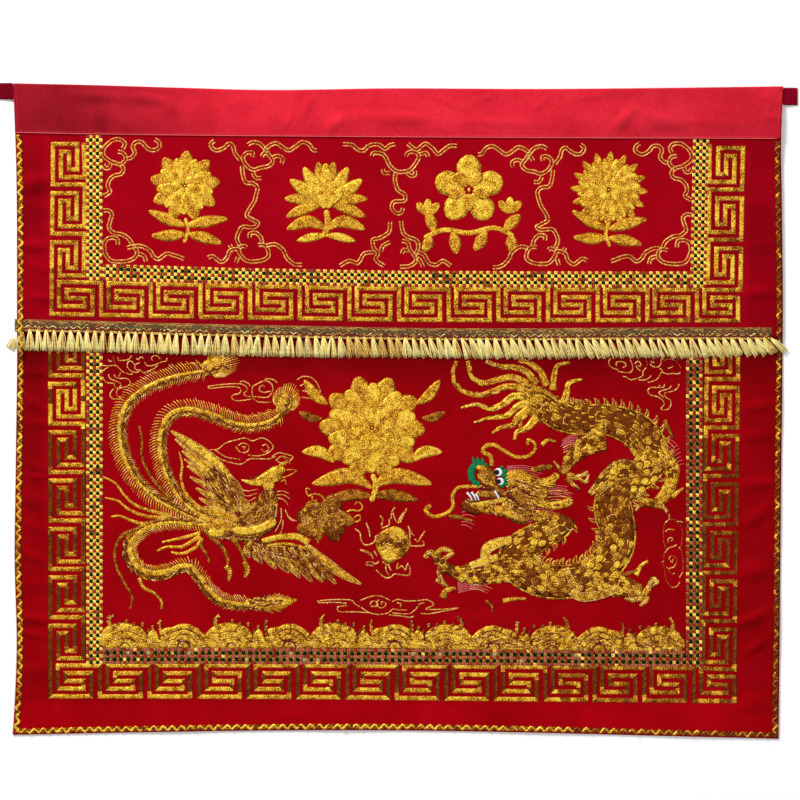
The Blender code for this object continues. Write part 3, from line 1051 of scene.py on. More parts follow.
def tie(row):
    """A flat tape whose tongue is caught in the heading and whose end drops to the surface."""
    rest = HEADING_CLOTH + (SLEEVE_GAP - TIE_THICK) / 2
    stations = table(
        "along top bottom low",
        (-TIE_TUCK, row.tongue_top, row.tongue_bottom, rest),
        (0.3, row.tongue_top, row.tongue_bottom, rest),
        (0.9, row.top, row.bottom, rest),
        (0.45 * row.free, row.top, row.bottom, rest * 0.6),
        (0.8 * row.free, row.top, row.bottom, rest * 0.12),
        (row.free, row.top, row.bottom, 0.0),
    )
    parts = 8
    points = []
    for first, second in zip(stations, stations[1:] + stations[-1:]):
        steps = 1 if first is second else 3
        for k in range(steps):
            t = k / 3
            along = first.along + (second.along - first.along) * t
            top = first.top + (second.top - first.top) * t
            bottom = first.bottom + (second.bottom - first.bottom) * t
            low = first.low + (second.low - first.low) * ease(t)
            x = row.edge + along * row.outward
            for side in (0, 1):
                order = range(parts + 1) if side == 0 else range(parts, -1, -1)
                for n in order:
                    v = n / parts
                    rib = 0.00018 * math.sin(v * math.pi) * (0.4 + 0.6 * (n % 2))
                    z = low + (0.0 if side == 0 else TIE_THICK - 0.0002 + rib)
                    points.append((x, top + (bottom - top) * v, z))
    ring = 2 * (parts + 1)
    count = len(points) // ring
    faces = []
    for i in range(count - 1):
        for k in range(ring):
            a = i * ring + k
            b = i * ring + (k + 1) % ring
            faces.append((a, b, b + ring, a + ring) if row.outward > 0 else (b, a, a + ring, b + ring))
    last = (count - 1) * ring
    faces.append(tuple(range(ring)))
    faces.append(tuple(range(last + ring - 1, last - 1, -1)))
    piece = Piece(row.name + "_tape", "tie", cloth=TIE_RED)
    piece.add(points, faces, "cloth")
    # The left tie is painted darker and the right one lighter: painted shade and painted light on one tape
    done = piece.finish((row.name,), lambda x, y: 0.8 if row.outward < 0 else 1.15)


for row in TIES:
    tie(row)

# One check of the ribbon: its length, how many lie side by side, how far its top draws in, and its sides
CELL = 3.4
CELLS_ACROSS = 5
CHECK_INSET = 0.32
CHECK_SIDE = 0.45
RIBBON_REST = 0.0001


def evenly(path, step):
    """Points one step apart along a broken line, with both of its ends."""
    lengths = [math.dist(a, b) for a, b in zip(path, path[1:])]
    count = max(1, round(sum(lengths) / step))
    apart = sum(lengths) / count
    out = []
    passed = 0.0
    for a, b, length in zip(path, path[1:], lengths):
        while len(out) <= count and len(out) * apart <= passed + length + 1e-9:
            share = (len(out) * apart - passed) / length
            out.append((a[0] + (b[0] - a[0]) * share, a[1] + (b[1] - a[1]) * share))
        passed += length
    return out


def check_leg(piece, path, rest, tones):
    """One straight run of the check ribbon: small cushions of gold, red and dark green."""
    line = evenly(path, CELL)
    edge = sides(line)
    rows = []
    for (x, y), (sx, sy) in zip(line, edge):
        row = []
        for k in range(CELLS_ACROSS + 1):
            at = (k / CELLS_ACROSS - 0.5) * RIBBON_WIDE
            row.append((x + sx * at, y + sy * at))
        rows.append(row)
    for j in range(len(rows) - 1):
        for k in range(CELLS_ACROSS):
            ring = (rows[j][k], rows[j][k + 1], rows[j + 1][k + 1], rows[j + 1][k])
            mx = sum(p[0] for p in ring) / 4
            my = sum(p[1] for p in ring) / 4
            low = rest(mx, my)
            points = [(x, y, low) for x, y in ring]
            points += [(x, y, low + RIBBON_THICK * CHECK_SIDE) for x, y in ring]
            points += [
                (x + (mx - x) * CHECK_INSET, y + (my - y) * CHECK_INSET, low + RIBBON_THICK) for x, y in ring
            ]
            faces = [(3, 2, 1, 0), (8, 9, 10, 11)]
            for n in range(4):
                m = (n + 1) % 4
                faces.append((n, m, m + 4, n + 4))
                faces.append((n + 4, m + 4, m + 8, n + 8))
            piece.add(points, faces, tones(j, k))


def plain_checks(j, k):
    """Rows of gold and dark green checks between rows of gold and red ones."""
    if j % 2:
        return "green" if k % 2 else "gold"
    return "gold" if k % 2 else "red"


def check_ribbon(name, replaced, legs, rest, tones):
    """A whole check ribbon, leg by leg."""
    piece = Piece(
        name, "ribbon", gold=CHECK_GOLD, dull=CHECK_DULL, green=CHECK_GREEN, red=CHECK_RED,
        pink=CHECK_PINK, pale=CHECK_PALE,
    )
    for number, leg in enumerate(legs):
        check_leg(piece, leg, rest, lambda j, k: tones(number, j, k))
    return piece.finish((replaced,))


def upper_tones(leg, j, k):
    """The upper ribbon's gold checks are a little darker along the bottom."""
    tone = plain_checks(j, k)
    if leg == 1 and tone == "gold" and random.random() < 0.16:
        return "dull"
    return tone


def lower_tones(leg, j, k):
    """Painted reflection: the lower ribbon's gold checks go dark along the bottom and up the right side; the
    bottom has pink checks too.
    """
    tone = plain_checks(j, k)
    if leg == 0:
        return tone if random.random() > 0.12 or tone != "gold" else "dull"
    if leg == 2:
        return "dull" if tone == "gold" and random.random() < 0.7 else tone
    if tone == "gold":
        return "dull" if random.random() < 0.94 else "gold"
    if tone == "green":
        return "pale" if random.random() < 0.1 else "green"
    return "pink" if random.random() < 0.5 else "red"


random.seed(11)
check_ribbon(
    "ribbon_valance", "valance_ribbon", UPPER_LEGS,
    lambda x, y: valance_top(x, y) + RIBBON_REST, upper_tones,
)
check_ribbon(
    "ribbon_panel", "panel_ribbon", LOWER_LEGS,
    lambda x, y: panel_top(x, y) + RIBBON_REST, lower_tones,
)

# One figure of the key border: places along it and away from its inner side, in order
KEY = ((0, 0), (0, 4), (4, 4), (4, 1), (2, 1), (2, 2), (3, 2), (3, 3), (1, 3), (1, 0))
KEY_ALONG = (0.0, 7.5, 15.3, 33.5, 41.2)
KEY_UNIT = 50.0
KEY_LAST_ROW = 4
KEY_LINE = 4.9
KEY_SHORT_END = 5

# Inner and outer line of the key border below the fields
UPPER_KEY = table(
    "x inner outer",
    (50, 281.6, 314.0),
    (240, 286.0, 317.4),
    (400, 288.8, 319.6),
    (560, 289.6, 320.2),
    (745, 290.0, 320.6),
)
LOWER_KEY = table(
    "x inner outer",
    (48, 665.6, 696.4),
    (300, 665.8, 697.2),
    (500, 667.0, 699.2),
    (740, 668.8, 701.4),
)


def key_low(rows, first, scale):
    """Places in the key border below a field."""
    def where(along, v):
        x = first + along * scale
        inner = read(rows, "x", "inner", x)
        outer = read(rows, "x", "outer", x)
        return (x, inner + (outer - inner) * v / KEY_LAST_ROW)
    return where


def key_side(foot, scale, inner, outer, lean=0.0):
    """Places in the key border up one side: foot is where it starts, inner and outer are its edges."""
    def where(along, v):
        y = foot - along * scale
        return (inner + (outer - inner) * v / KEY_LAST_ROW + lean * along, y)
    return where


def key_path(left, low, right, side_units, low_units, cut):
    """One unbroken line of key figures: down the left side, along below and up the right side."""
    path = []
    if cut is not None:
        start = left(side_units * KEY_UNIT, KEY_LAST_ROW)
        path += [(start[0], cut), start, left(side_units * KEY_UNIT, 0)]
    else:
        path.append((left(0, 0)[0], left(side_units * KEY_UNIT - KEY_ALONG[1], 0)[1]))
    for unit in range(side_units - 1, -1, -1):
        places = KEY[::-1] if unit else KEY[:1:-1]
        path += [left(unit * KEY_UNIT + KEY_ALONG[u], v) for u, v in places]
    for unit in range(low_units):
        places = KEY if unit else KEY[1:]
        path += [low(unit * KEY_UNIT + KEY_ALONG[u], v) for u, v in places]
    for unit in range(side_units):
        places = KEY if unit else KEY[1:]
        path += [right(unit * KEY_UNIT + KEY_ALONG[u], v) for u, v in places]
    if cut is not None:
        end = right(side_units * KEY_UNIT, KEY_LAST_ROW)
        path += [right(side_units * KEY_UNIT, 0), end, (end[0], cut)]
    else:
        path.append((path[-1][0], right(side_units * KEY_UNIT - KEY_SHORT_END, 0)[1]))
    return path


def key_line(piece, path, tones, ground):
    """The stitched line of a key border, its tone read bar by bar."""
    fine = []
    kinds = []
    for a, b in zip(path, path[1:]):
        parts = max(1, round(math.dist(a, b) / 5.0))
        flat = abs(b[0] - a[0]) > abs(b[1] - a[1])
        for k in range(parts):
            t = k / parts
            x = a[0] + (b[0] - a[0]) * t
            y = a[1] + (b[1] - a[1]) * t
            fine.append((x, y))
            kinds.append(tones(flat, x, y, k in (0, parts - 1)))
    fine.append(path[-1])
    band(piece, fine, KEY_LINE, kinds, high=0.00075, ground=ground, ribs=5)


def upper_key_tones(flat, x, y, turning):
    """Painted reflection: the upper border's gold is bright on its upright bars up the sides and dimmer along
    its flat bars.
    """
    if turning and random.random() < 0.5:
        return "worn"
    chance = random.random()
    if flat:
        if x > 640 and chance < 0.45:
            return "bronze"
        return "worn" if chance > 0.62 else "gold"
    if x < 110 and y > 268:
        return "bronze" if chance < 0.5 else "worn"
    if y > 288 and chance < 0.3:
        return "worn"
    return "bright" if chance < 0.8 else "gold"


def lower_key_tones(flat, x, y, turning):
    """Painted reflection: the lower border's gold is bright on its flat bars and dark on its upright ones,
    and duller up its sides.
    """
    low = y > 660
    if low:
        if flat:
            if x > 560:
                return "bronze" if random.random() < 0.75 else "gold"
            return "bright" if random.random() < 0.45 else "gold"
        return "gold" if turning and random.random() < 0.3 else "dark"
    if x < 100:
        if flat:
            return "gold" if random.random() < 0.7 else "worn"
        if 380 < y < 426 and random.random() < 0.8:
            return "bright"
        return "bronze" if turning and random.random() < 0.5 else "dark"
    if y < 440 and x > 700:
        return "bronze" if random.random() < 0.6 else "gold"
    if turning and random.random() < 0.25:
        return "gold"
    return "bronze" if flat and random.random() < 0.5 else "dark"


GOLD_TONES = {"bright": BRIGHT, "gold": GOLD, "worn": GOLD_DIMMER, "bronze": BRONZE, "dark": DARK}


def key_borders():
    """The key borders round three sides of each field."""
    random.seed(21)
    upper = Piece("key_border_valance", "valance", **GOLD_TONES)
    path = key_path(
        key_side(283.0, 0.984, 83.8, 51.6, 0.012),
        key_low(UPPER_KEY, 51.6, 0.993),
        key_side(290.0, 1.004, 707.6, 740.4, 0.018),
        3, 14, None,
    )
    key_line(upper, path, upper_key_tones, valance_top)
    upper.finish()
    lower = Piece("key_border_panel", "lower_panel", **GOLD_TONES)
    left = key_side(665.8, 0.968, 83.0, 50.2)
    right = key_side(669.6, 0.968, 703.2, 734.6, 0.012)
    cut = 349.0
    path = key_path(left, key_low(LOWER_KEY, 50.4, 0.990), right, 6, 14, cut)
    key_line(lower, path, lower_key_tones, panel_top)
    for side in (left, right):
        foot = 6 * KEY_UNIT
        second = foot + KEY_ALONG[2]
        first = foot + KEY_ALONG[1]
        inner = [side(second, 2), side(second, 1)]
        outer = [side(first, 3), side(first, 0)]
        for a, b in (inner, outer):
            key_line(lower, [(a[0], cut), a, b, (b[0], cut)], lower_key_tones, panel_top)
    lower.finish()


# The edge braid: the pace of its places, the length of a wave, and how far below the seam it starts
GIMP_PACE = 1.08
GIMP_WAVE = 9.2
GIMP_START = 1.6


def gimp_centre():
    """The edge braid's middle line: down the left side, along the hem and up the right side."""
    top_left = read(EDGES, "x", "seam", SIDES[1].left) + SEAM_CLEAR + GIMP_START
    top_right = read(EDGES, "x", "seam", SIDES[1].right) + SEAM_CLEAR + GIMP_START
    hem = EDGES[0].hem
    left = read(SIDES, "y", "left", hem) + GIMP_INSET
    right = read(SIDES, "y", "right", hem) - GIMP_INSET
    low_left = read(EDGES, "x", "hem", left) - GIMP_INSET
    low_right = read(EDGES, "x", "hem", right) - GIMP_INSET
    side_parts = 60
    hem_parts = 70
    path = []
    for k in range(side_parts):
        y = top_left + (low_left - top_left) * k / side_parts
        path.append((read(SIDES, "y", "left", y) + GIMP_INSET, y))
    for k in range(hem_parts + 1):
        x = left + (right - left) * k / hem_parts
        path.append((x, read(EDGES, "x", "hem", x) - GIMP_INSET))
    for k in range(side_parts - 1, -1, -1):
        y = top_right + (low_right - top_right) * k / side_parts
        path.append((read(SIDES, "y", "right", y) - GIMP_INSET, y))
    return evenly(path, GIMP_PACE)


def gimp_tone(x, y):
    """Painted reflection: the braid's gold is bright along the left side and most of the hem, and dull up the
    right side.
    """
    chance = random.random()
    if y > 722 and x < 560:
        return pick(chance, (0.7, "bright"), (0.9, "gold"), other="bronze")
    if x < 100:
        return pick(chance, (0.62, "bright"), (0.84, "gold"), other="bronze")
    if y > 722:
        return pick(chance, (0.3, "gold"), (0.4, "bright"), (0.8, "bronze"), other="dark")
    if 360 < y < 470:
        return pick(chance, (0.4, "gold"), (0.8, "bronze"), other="dark")
    return pick(chance, (0.14, "gold"), (0.5, "bronze"), other="dark")


def edge_gimp():
    """A flat gold braid that winds from side to side, and a thin dull cord that crosses it."""
    random.seed(31)
    piece = Piece("gimp_braid", "gimp", bright=BRIGHT, gold=GOLD, bronze=BRONZE, dark=DARK)
    centre = gimp_centre()
    turned = sides(centre, 1.3)
    hold = 4
    for sway, half, flat, phase, dull in ((1.75, 1.35, 0.3, 0.0, False), (-1.9, 0.7, 0.4, 0.5, True)):
        path = []
        kinds = []
        kind = "gold"
        for i, ((x, y), (sx, sy)) in enumerate(zip(centre, turned)):
            turn = 2 * math.pi * i * GIMP_PACE / GIMP_WAVE + phase
            off = sway * math.sin(turn) + 0.25 * math.sin(0.37 * i)
            side = GIMP_LEFT if x < MID_X else GIMP_RIGHT
            base = lift(x, y) + straight(side, "y", "rest", y)
            base += puckered(x, y) if y > 360 else upper_puckered(x, y) if y < 316 else 0.0
            level = 0.00018 if dull else 0.00042
            path.append((x + sx * off, y + sy * off, base + 0.0003 + level * (0.6 + 0.4 * math.cos(turn))))
            if i % hold == 0:
                kind = gimp_tone(x, y)
                if dull:
                    kind = "bronze" if kind == "bright" and random.random() < 0.8 else "dark"
            kinds.append(kind)
        cord(piece, path, half, kinds, rounds=6, flat=flat)
    piece.finish(("edge_gimp",))


# Each tassel: its count of threads, and its width at the tips
LOCK_THREADS = 34
LOCK_WIDE = 5.2

# The two end tassels: where they start, their lean, their length, the level of their tips and their width
END_LOCKS = (
    (15.4, 338.2, -30, 12.0, 0.0011, 4.2),
    (771.6, 339.4, 48, 19.0, LOCK_REST, 3.6),
)

# A tassel left of the first place has no knot, and one right of the second place crosses the edge braid
KNOTLESS_TO = 16
CROSSING_FROM = 770
CROSSING_RISE = 0.0017


def fringe():
    """The woven braid and its tassels of fine loose threads."""
    random.seed(41)
    piece = Piece(
        "fringe_trim", "fringe", band=BRAID_GROUND, brown=BRAID_BROWN, gold=BRAID_GOLD, green=BRAID_GREEN,
        wine=BRAID_WINE, pale=TASSEL_PALE, straw=TASSEL_STRAW, tan=TASSEL_TAN,
    )
    low = TRIM_REST
    high = low + BRAID_THICK * 0.45
    points = []
    x = BRAID_ENDS[0]
    while x <= BRAID_ENDS[1]:
        top = read(BRAID, "x", "top", x)
        bottom = read(BRAID, "x", "bottom", x)
        points += [(x, top, low), (x, bottom, low), (x, bottom, high), (x, top, high)]
        x += 3.0
    count = len(points) // 4
    faces = [(3, 2, 1, 0), tuple(4 * count - 4 + k for k in range(4))]
    for i in range(count - 1):
        for k in range(4):
            a = i * 4 + k
            b = i * 4 + (k + 1) % 4
            faces.append((a, b, b + 4, a + 4))
    piece.add(points, faces, "band")

    def run(offset, sway, wave, half, tone, up, phase=0.0, pace=1.0, flat=0.5, shape=math.sin):
        """One cord of the braid. offset is its place down the braid and sway how far it swings."""
        path = []
        kinds = []
        x = BRAID_ENDS[0] + 0.8
        kind = tone[0]
        while x < BRAID_ENDS[1] - 0.8:
            top = read(BRAID, "x", "top", x)
            turn = 2 * math.pi * x / wave + phase
            path.append((x, top + offset + sway * shape(turn), high + up * (0.75 + 0.25 * math.cos(turn))))
            if random.random() < 0.4:
                kind = random.choice(tone)
            kinds.append(kind)
            x += pace
        cord(piece, path, half, kinds, flat=flat)

    def scallop(turn):
        return 1 - 2 * abs(math.sin(turn / 2)) ** 1.5

    run(0.7, 0.35, 3.3, 0.42, ("brown", "gold", "brown"), 0.00012)
    run(2.0, 0.3, 4.4, 0.45, ("gold", "brown", "gold", "band"), 0.0001, phase=1.0)
    run(3.2, 0.3, 5.2, 0.36, ("band", "gold", "green"), 0.00008, phase=2.0)
    run(5.1, 1.25, 6.1, 0.72, ("green", "green", "green", "band"), 0.00018, phase=0.5, pace=0.8)
    run(5.2, 1.3, 6.1, 0.4, ("gold", "brown", "green"), 0.00014, phase=3.6, pace=0.8)
    run(7.2, 1.1, 8.16, 0.46, ("gold", "gold", "wine", "pale"), 0.0002, pace=0.8, shape=scallop)
    run(8.4, 0.9, 8.16, 0.4, ("wine", "wine", "wine", "gold"), 0.00012, phase=1.0, pace=0.8, shape=scallop)
    run(9.3, 0.15, 5.0, 0.42, ("wine",), 0.0001)
    run(10.5, 0.25, 2.6, 0.45, ("straw", "gold", "brown"), 0.0001, pace=0.65)
    run(11.5, 0.25, 2.6, 0.45, ("gold", "straw", "brown"), 0.0001, phase=1.5, pace=0.65)

    locks = []
    x = FIRST_LOCK
    while x < LAST_LOCK:
        root = read(BRAID, "x", "bottom", x)
        lean = math.radians(read(BRAID, "x", "lean", x) + 4 * math.sin(1.7 * x) + random.uniform(-3, 3))
        reach = (read(BRAID, "x", "tip", x) - root) / math.cos(lean)
        end_rise = EDGE_RISE * ease((x - EDGE_RISE_FROM) / EDGE_RISE_OVER)
        locks.append((x, root - 1.0, lean, reach + 1.0, LOCK_REST + end_rise, LOCK_WIDE))
        x += LOCK_PITCH
    for x, root, degrees, reach, level, wide in END_LOCKS:
        locks.append((x, root, math.radians(degrees), reach, level, wide))
    for x, root, lean, reach, level, wide in locks:
        tan_patch = 345 < x < 398 and random.random() < 0.85
        over_gimp = CROSSING_RISE if x > CROSSING_FROM else 0.0
        for _ in range(LOCK_THREADS):
            share = random.uniform(-1, 1)
            tip_out = share * wide * random.uniform(0.8, 1.05)
            root_out = share * 1.25
            long = reach * random.uniform(0.86, 1.03)
            sag = random.uniform(-0.7, 0.7)
            layer = random.random()
            path = []
            for k in range(5):
                t = k / 4
                out = root_out + (tip_out - root_out) * (t ** 0.8) + sag * math.sin(math.pi * t)
                px = x + math.sin(lean) * long * t + math.cos(lean) * out
                py = root + math.cos(lean) * long * t - math.sin(lean) * out
                raised = ease(1 - t / 0.8)
                puff = 0.0009 * math.sin(math.pi * min(t * 1.3, 1)) * (1 - share * share)
                z = level + raised * (high - level) + 0.0004 * layer + puff + 0.0002
                z += over_gimp * math.sin(math.pi * min(t * 1.15, 1))
                path.append((px, py, z))
            chance = random.random()
            if tan_patch:
                tone = "tan" if chance < 0.6 else "straw"
            else:
                tone = pick(chance, (0.58, "pale"), (0.84, "straw"), (0.96, "tan"), other="brown")
            cord(piece, path, random.uniform(0.26, 0.36), tone, rounds=3, flat=0.8)
        head = [
            (x - 0.2, root - 1.6, high + 0.0002),
            (x, root, high + 0.0003),
            (x + math.sin(lean) * 1.5, root + 1.5, high + 0.0002),
        ]
        if x > KNOTLESS_TO:
            cord(piece, head, 1.0, "straw", rounds=6, flat=0.45)
    piece.finish(("fringe",))


key_borders()
edge_gimp()
fringe()


# The scroll vines: each row is one line of places. The right half mirrors the corner and the knot scrolls.
CORNER_SCROLLS = (
    ((123, 149), (125, 144), (121, 140), (114, 140), (108, 144), (104, 149), (104, 156), (112, 162),
     (120, 164.5), (123.5, 169), (121, 174), (114, 176), (109, 181), (108, 187), (110, 192), (104, 196)),
    ((118, 152), (123, 153), (126, 158), (123, 163), (118, 165)),
    ((126, 159), (131, 158), (135, 153), (133, 147), (136, 142.5), (142, 142.5), (147, 148),
     (153, 150.5), (159, 148), (159.5, 143), (155, 139.5)),
    ((103.5, 164), (105, 168), (109, 168), (111, 163)),
    ((103.5, 211), (108, 210.5), (112, 214), (110, 222), (109, 228), (114, 233), (122, 234.5),
     (129, 239), (132.5, 245)),
    ((118, 245), (117, 239), (110, 238), (105, 242), (104.5, 250), (108, 258), (114, 261.5),
     (128, 261), (135.5, 257), (137, 251), (133, 247), (127, 248)),
    ((132, 247), (140, 246), (149, 250), (154, 257), (159, 259), (166, 254), (173, 255), (184, 259)),
    ((138, 254), (144, 256), (146, 262)),
)
KNOT_SCROLLS = (
    ((214.5, 141), (211, 144), (213, 149), (218, 150.5), (224, 148), (229, 144), (233, 146),
     (235, 153), (240, 160)),
    ((248, 145), (253, 142.5), (260, 144), (265, 149), (269, 155), (273, 161), (269, 166), (260, 168),
     (254, 170), (247, 166), (243, 158), (247, 153), (252.5, 153), (252, 157)),
    ((262, 157), (264, 153.5), (269, 154)),
    ((265, 150), (271, 145), (277, 143.5), (282, 147), (289, 150.5), (295, 147), (302, 142.5),
     (309, 144.5), (313, 150), (317, 150.5)),
    ((272, 158), (278, 156), (283, 159), (281.5, 163.5)),
    ((242, 166), (243, 175), (246, 182.5), (253, 183.5), (257.5, 188), (256, 196), (254, 202),
     (249, 210), (247, 216), (253, 220), (258, 223), (254, 227.5), (243, 227), (239, 232), (237, 239),
     (240, 246)),
    ((253, 173), (256, 178), (261, 178)),
    ((208, 258), (213, 256.5), (221, 262), (227, 258), (230, 251), (238, 249), (240, 254), (247, 261),
     (260, 261), (268, 257), (268, 250), (264, 245), (258, 245)),
    ((250, 238), (250, 234), (256, 233), (261, 238), (262.5, 244)),
    ((266, 246), (275, 244.5), (283, 250), (287, 258), (294, 264), (302, 265)),
    ((239, 248), (244, 246), (247, 248)),
    ((230, 245), (232, 250)),
    ((238, 257), (236, 263)),
)
CENTRE_SCROLLS = (
    ((343, 144.5), (352, 145), (357, 149), (363, 151), (369, 146), (378, 144.5), (385, 149),
     (389, 146), (395, 144)),
    ((372, 156), (374, 153), (382, 154), (386, 158), (390, 166), (396, 171), (402, 172), (410, 170),
     (416, 163), (419, 156), (414, 152), (408, 153), (406, 157)),
    ((383, 169), (384, 173), (390, 173)),
    ((457, 146), (450, 146), (444, 150), (438, 154), (432, 148), (425, 144), (417, 150), (413, 148),
     (408, 144)),
    ((419, 155), (426, 153), (428, 157)),
    ((407, 173), (411, 176), (415, 175), (415, 171)),
    ((396, 172), (395, 180), (398, 190), (405, 195), (404, 201), (394, 202), (392, 208), (396, 213),
     (401, 213), (403, 208)),
    ((401, 221), (403, 232), (408, 237), (417, 241), (418, 250), (414, 256)),
    ((402, 241), (408, 243), (410, 250), (414, 255), (416, 261), (410, 266), (400, 267)),
    ((402, 254), (404, 250), (409, 251)),
    ((417, 252), (424, 255), (429, 263), (436, 265), (443, 261), (451, 266)),
    ((417, 258), (421, 262), (423, 267)),
    ((390, 222), (389, 232), (380, 238), (373, 240), (374, 248), (378, 253), (376, 260), (384, 266)),
    ((390, 242), (383, 246), (381, 252)),
    ((340, 266), (349, 261), (358, 263), (364, 254), (374, 252)),
)
MIRROR = 795.0
MIRROR_DROP = 4.0


def scrolls():
    """The couched double lines of the valance's field."""
    random.seed(51)
    piece = Piece("scroll_vines", "valance", gold=VINE, cream=CREAM)
    lines = list(CENTRE_SCROLLS)
    for group in (CORNER_SCROLLS, KNOT_SCROLLS):
        lines += group
        for line in group:
            lines.append(tuple((MIRROR - x, y + MIRROR_DROP * (1 if y < 225 else 0.6)) for x, y in line))
    for line in lines:
        path = smooth(line, 1.7)
        turned = sides(path, 1.3)
        for off in (-1.5, 1.5):
            shifted = [(x + sx * off, y + sy * off) for (x, y), (sx, sy) in zip(path, turned)]
            kinds = ["gold" if random.random() < 0.6 else "cream" for _ in shifted]
            band(piece, shifted, 1.75, kinds, high=LINE, ground=valance_top)
    piece.finish()


def stroke(piece, tone, wide, line, high=SATIN, over=0.0, ground=panel_top, step=2.2, blunt=0.5):
    """A run of satin stitches with round ends."""
    path = smooth(line, step)
    lengths = [0.0]
    for a, b in zip(path, path[1:]):
        lengths.append(lengths[-1] + math.dist(a, b))
    whole = lengths[-1]
    widths = []
    for s in lengths:
        end = min(s, whole - s) / max(wide * blunt, 0.01)
        widths.append(wide * math.sqrt(max(1 - (1 - min(end, 1.0)) ** 2, 0.03)))
    band(piece, path, widths, tone, high=high, over=over, ground=ground, ribs=5)


def disc(piece, tone, x, y, radius, over, high=LINE, ground=panel_top, count=14):
    """A low round dome."""
    base = ground(x, y) + over
    points = []
    for out, up in ((1.0, -SINK), (0.85, high * 0.75), (0.45, high)):
        for k in range(count):
            a = 2 * math.pi * k / count
            points.append((x + math.cos(a) * radius * out, y + math.sin(a) * radius * out, base + up))
    faces = []
    for ring in range(2):
        for k in range(count):
            a = ring * count + k
            b = ring * count + (k + 1) % count
            faces.append((b, a, a + count, b + count))
    faces.append(tuple(2 * count + k for k in range(count - 1, -1, -1)))
    faces.append(tuple(range(count)))
    piece.add(points, faces, tone)


def speckle(piece, path, widths, tones, every, over, long=4.0, lean=0.4):
    """Short loose stitches strewn over a run, in several tones."""
    turned = sides(path, 1.2)
    for i in range(1, len(path) - 1):
        (x, y), (sx, sy) = path[i], turned[i]
        for _ in range(max(1, round(widths[i] / every))):
            at = random.uniform(-0.42, 0.42) * widths[i]
            crown = 1 - (2 * at / widths[i]) ** 2
            cx = x + sx * at
            cy = y + sy * at
            a = math.atan2(-sx, sy) + random.uniform(-lean, lean)
            dx = math.cos(a) * long / 2
            dy = math.sin(a) * long / 2
            taper(piece, ((cx - dx, cy - dy), (cx + 0.3, cy + 0.3), (cx + dx, cy + dy)), 1.7, 0.8,
                  random.choice(tones), high=FINE, over=over * crown)


def strewn(piece, line, step, wide, tones, every, over, long, lean):
    """Loose stitches over a line, strewn equally wide all along it."""
    path = smooth(line, step)
    speckle(piece, path, [wide] * len(path), tones, every, over, long, lean)


def petal(piece, tone, middle, turn, near, far, wide, bend=0.0, peak=0.55, **more):
    """A petal that points away from a middle. turn is in degrees, clockwise from upwards."""
    a = math.radians(turn)
    out = (math.sin(a), -math.cos(a))
    side = (math.cos(a), math.sin(a))
    line = []
    for k in range(4):
        t = k / 3
        r = near + (far - near) * t
        s = bend * t * t
        line.append((middle[0] + out[0] * r + side[0] * s, middle[1] + out[1] * r + side[1] * s))
    leaf(piece, line, wide, tone, peak=peak, tip=0.2, **more)


def knots(piece, tone, middle, radius, count, wide, over, ground):
    """Small round stitches in a ring."""
    for k in range(count):
        a = 2 * math.pi * k / count
        x = middle[0] + math.cos(a) * radius
        y = middle[1] + math.sin(a) * radius
        stroke(piece, tone, wide, ((x - wide * 0.35, y), (x + wide * 0.35, y)), 0.0006, over, ground, 0.8)


def flower_lotus(piece, m, k, ground):
    """An open lotus on its stalk, with a leaf to each side."""
    x, y = m
    for turn, bend in ((-100, -6), (100, 6), (-76, -5), (76, 5)):
        petal(piece, "gold", (x, y + 8 * k), turn, 6 * k, 42 * k, 13 * k, bend, 0.5, ground=ground)
    heart = (x, y + 10 * k)
    for turn in (-54, 54, -30, 30, -10, 10):
        petal(piece, "bright" if abs(turn) > 20 else "gold", heart, turn, 5 * k, 45 * k, 14 * k,
              0, 0.55, ground=ground, over=0.0003)
    petal(piece, "bright", heart, 0, 3 * k, 43 * k, 15 * k, 0, 0.55, ground=ground, over=0.0007)
    for turn in (-38, 38, -16, 16):
        petal(piece, "bright", (x, y + 14 * k), turn, 2 * k, 30 * k, 11 * k, 0, 0.6,
              ground=ground, over=0.0009)
    stalk = ((x, y + 14 * k), (x + 2 * k, y + 28 * k), (x - 2 * k, y + 42 * k))
    stroke(piece, "gold", 7 * k, stalk, ground=ground)
    for s in (-1, 1):
        leaf(piece, ((x, y + 34 * k), (x + s * 18 * k, y + 26 * k), (x + s * 40 * k, y + 34 * k)), 14 * k,
             "gold", 0.5, ground=ground)
        leaf(piece, ((x, y + 40 * k), (x + s * 14 * k, y + 42 * k), (x + s * 30 * k, y + 46 * k)), 9 * k,
             "bright", 0.5, ground=ground, over=0.0002)


def flower_round(piece, m, k, ground, rings):
    """A full round flower. Each ring is its count, near, far, width, tone and first turn."""
    for level, (count, near, far, wide, tone, first) in enumerate(rings):
        for n in range(count):
            turn = first + 360 * n / count
            petal(piece, tone, m, turn, near * k, far * k, wide * k, 2 * k, 0.62, ground=ground,
                  over=0.00025 * level)
    knots(piece, "worn", m, 3.2 * k, 6, 2.4 * k, 0.0009, ground)
    stroke(piece, "bright", 3.4 * k, ((m[0] - k, m[1]), (m[0] + k, m[1])), 0.0007, 0.0009, ground, 0.8)


def sprig(piece, line, k, ground, leaves, wide=10.0, tone="gold"):
    """A stalk with pointed leaves: each leaf is a place along the stalk, a turn and a length."""
    stroke(piece, "bright", 4 * k, line, ground=ground)
    for (x, y), turn, long in leaves:
        petal(piece, tone, (x, y), turn, 1, long * k, wide * k, 3 * k, 0.45, ground=ground, over=0.0001)


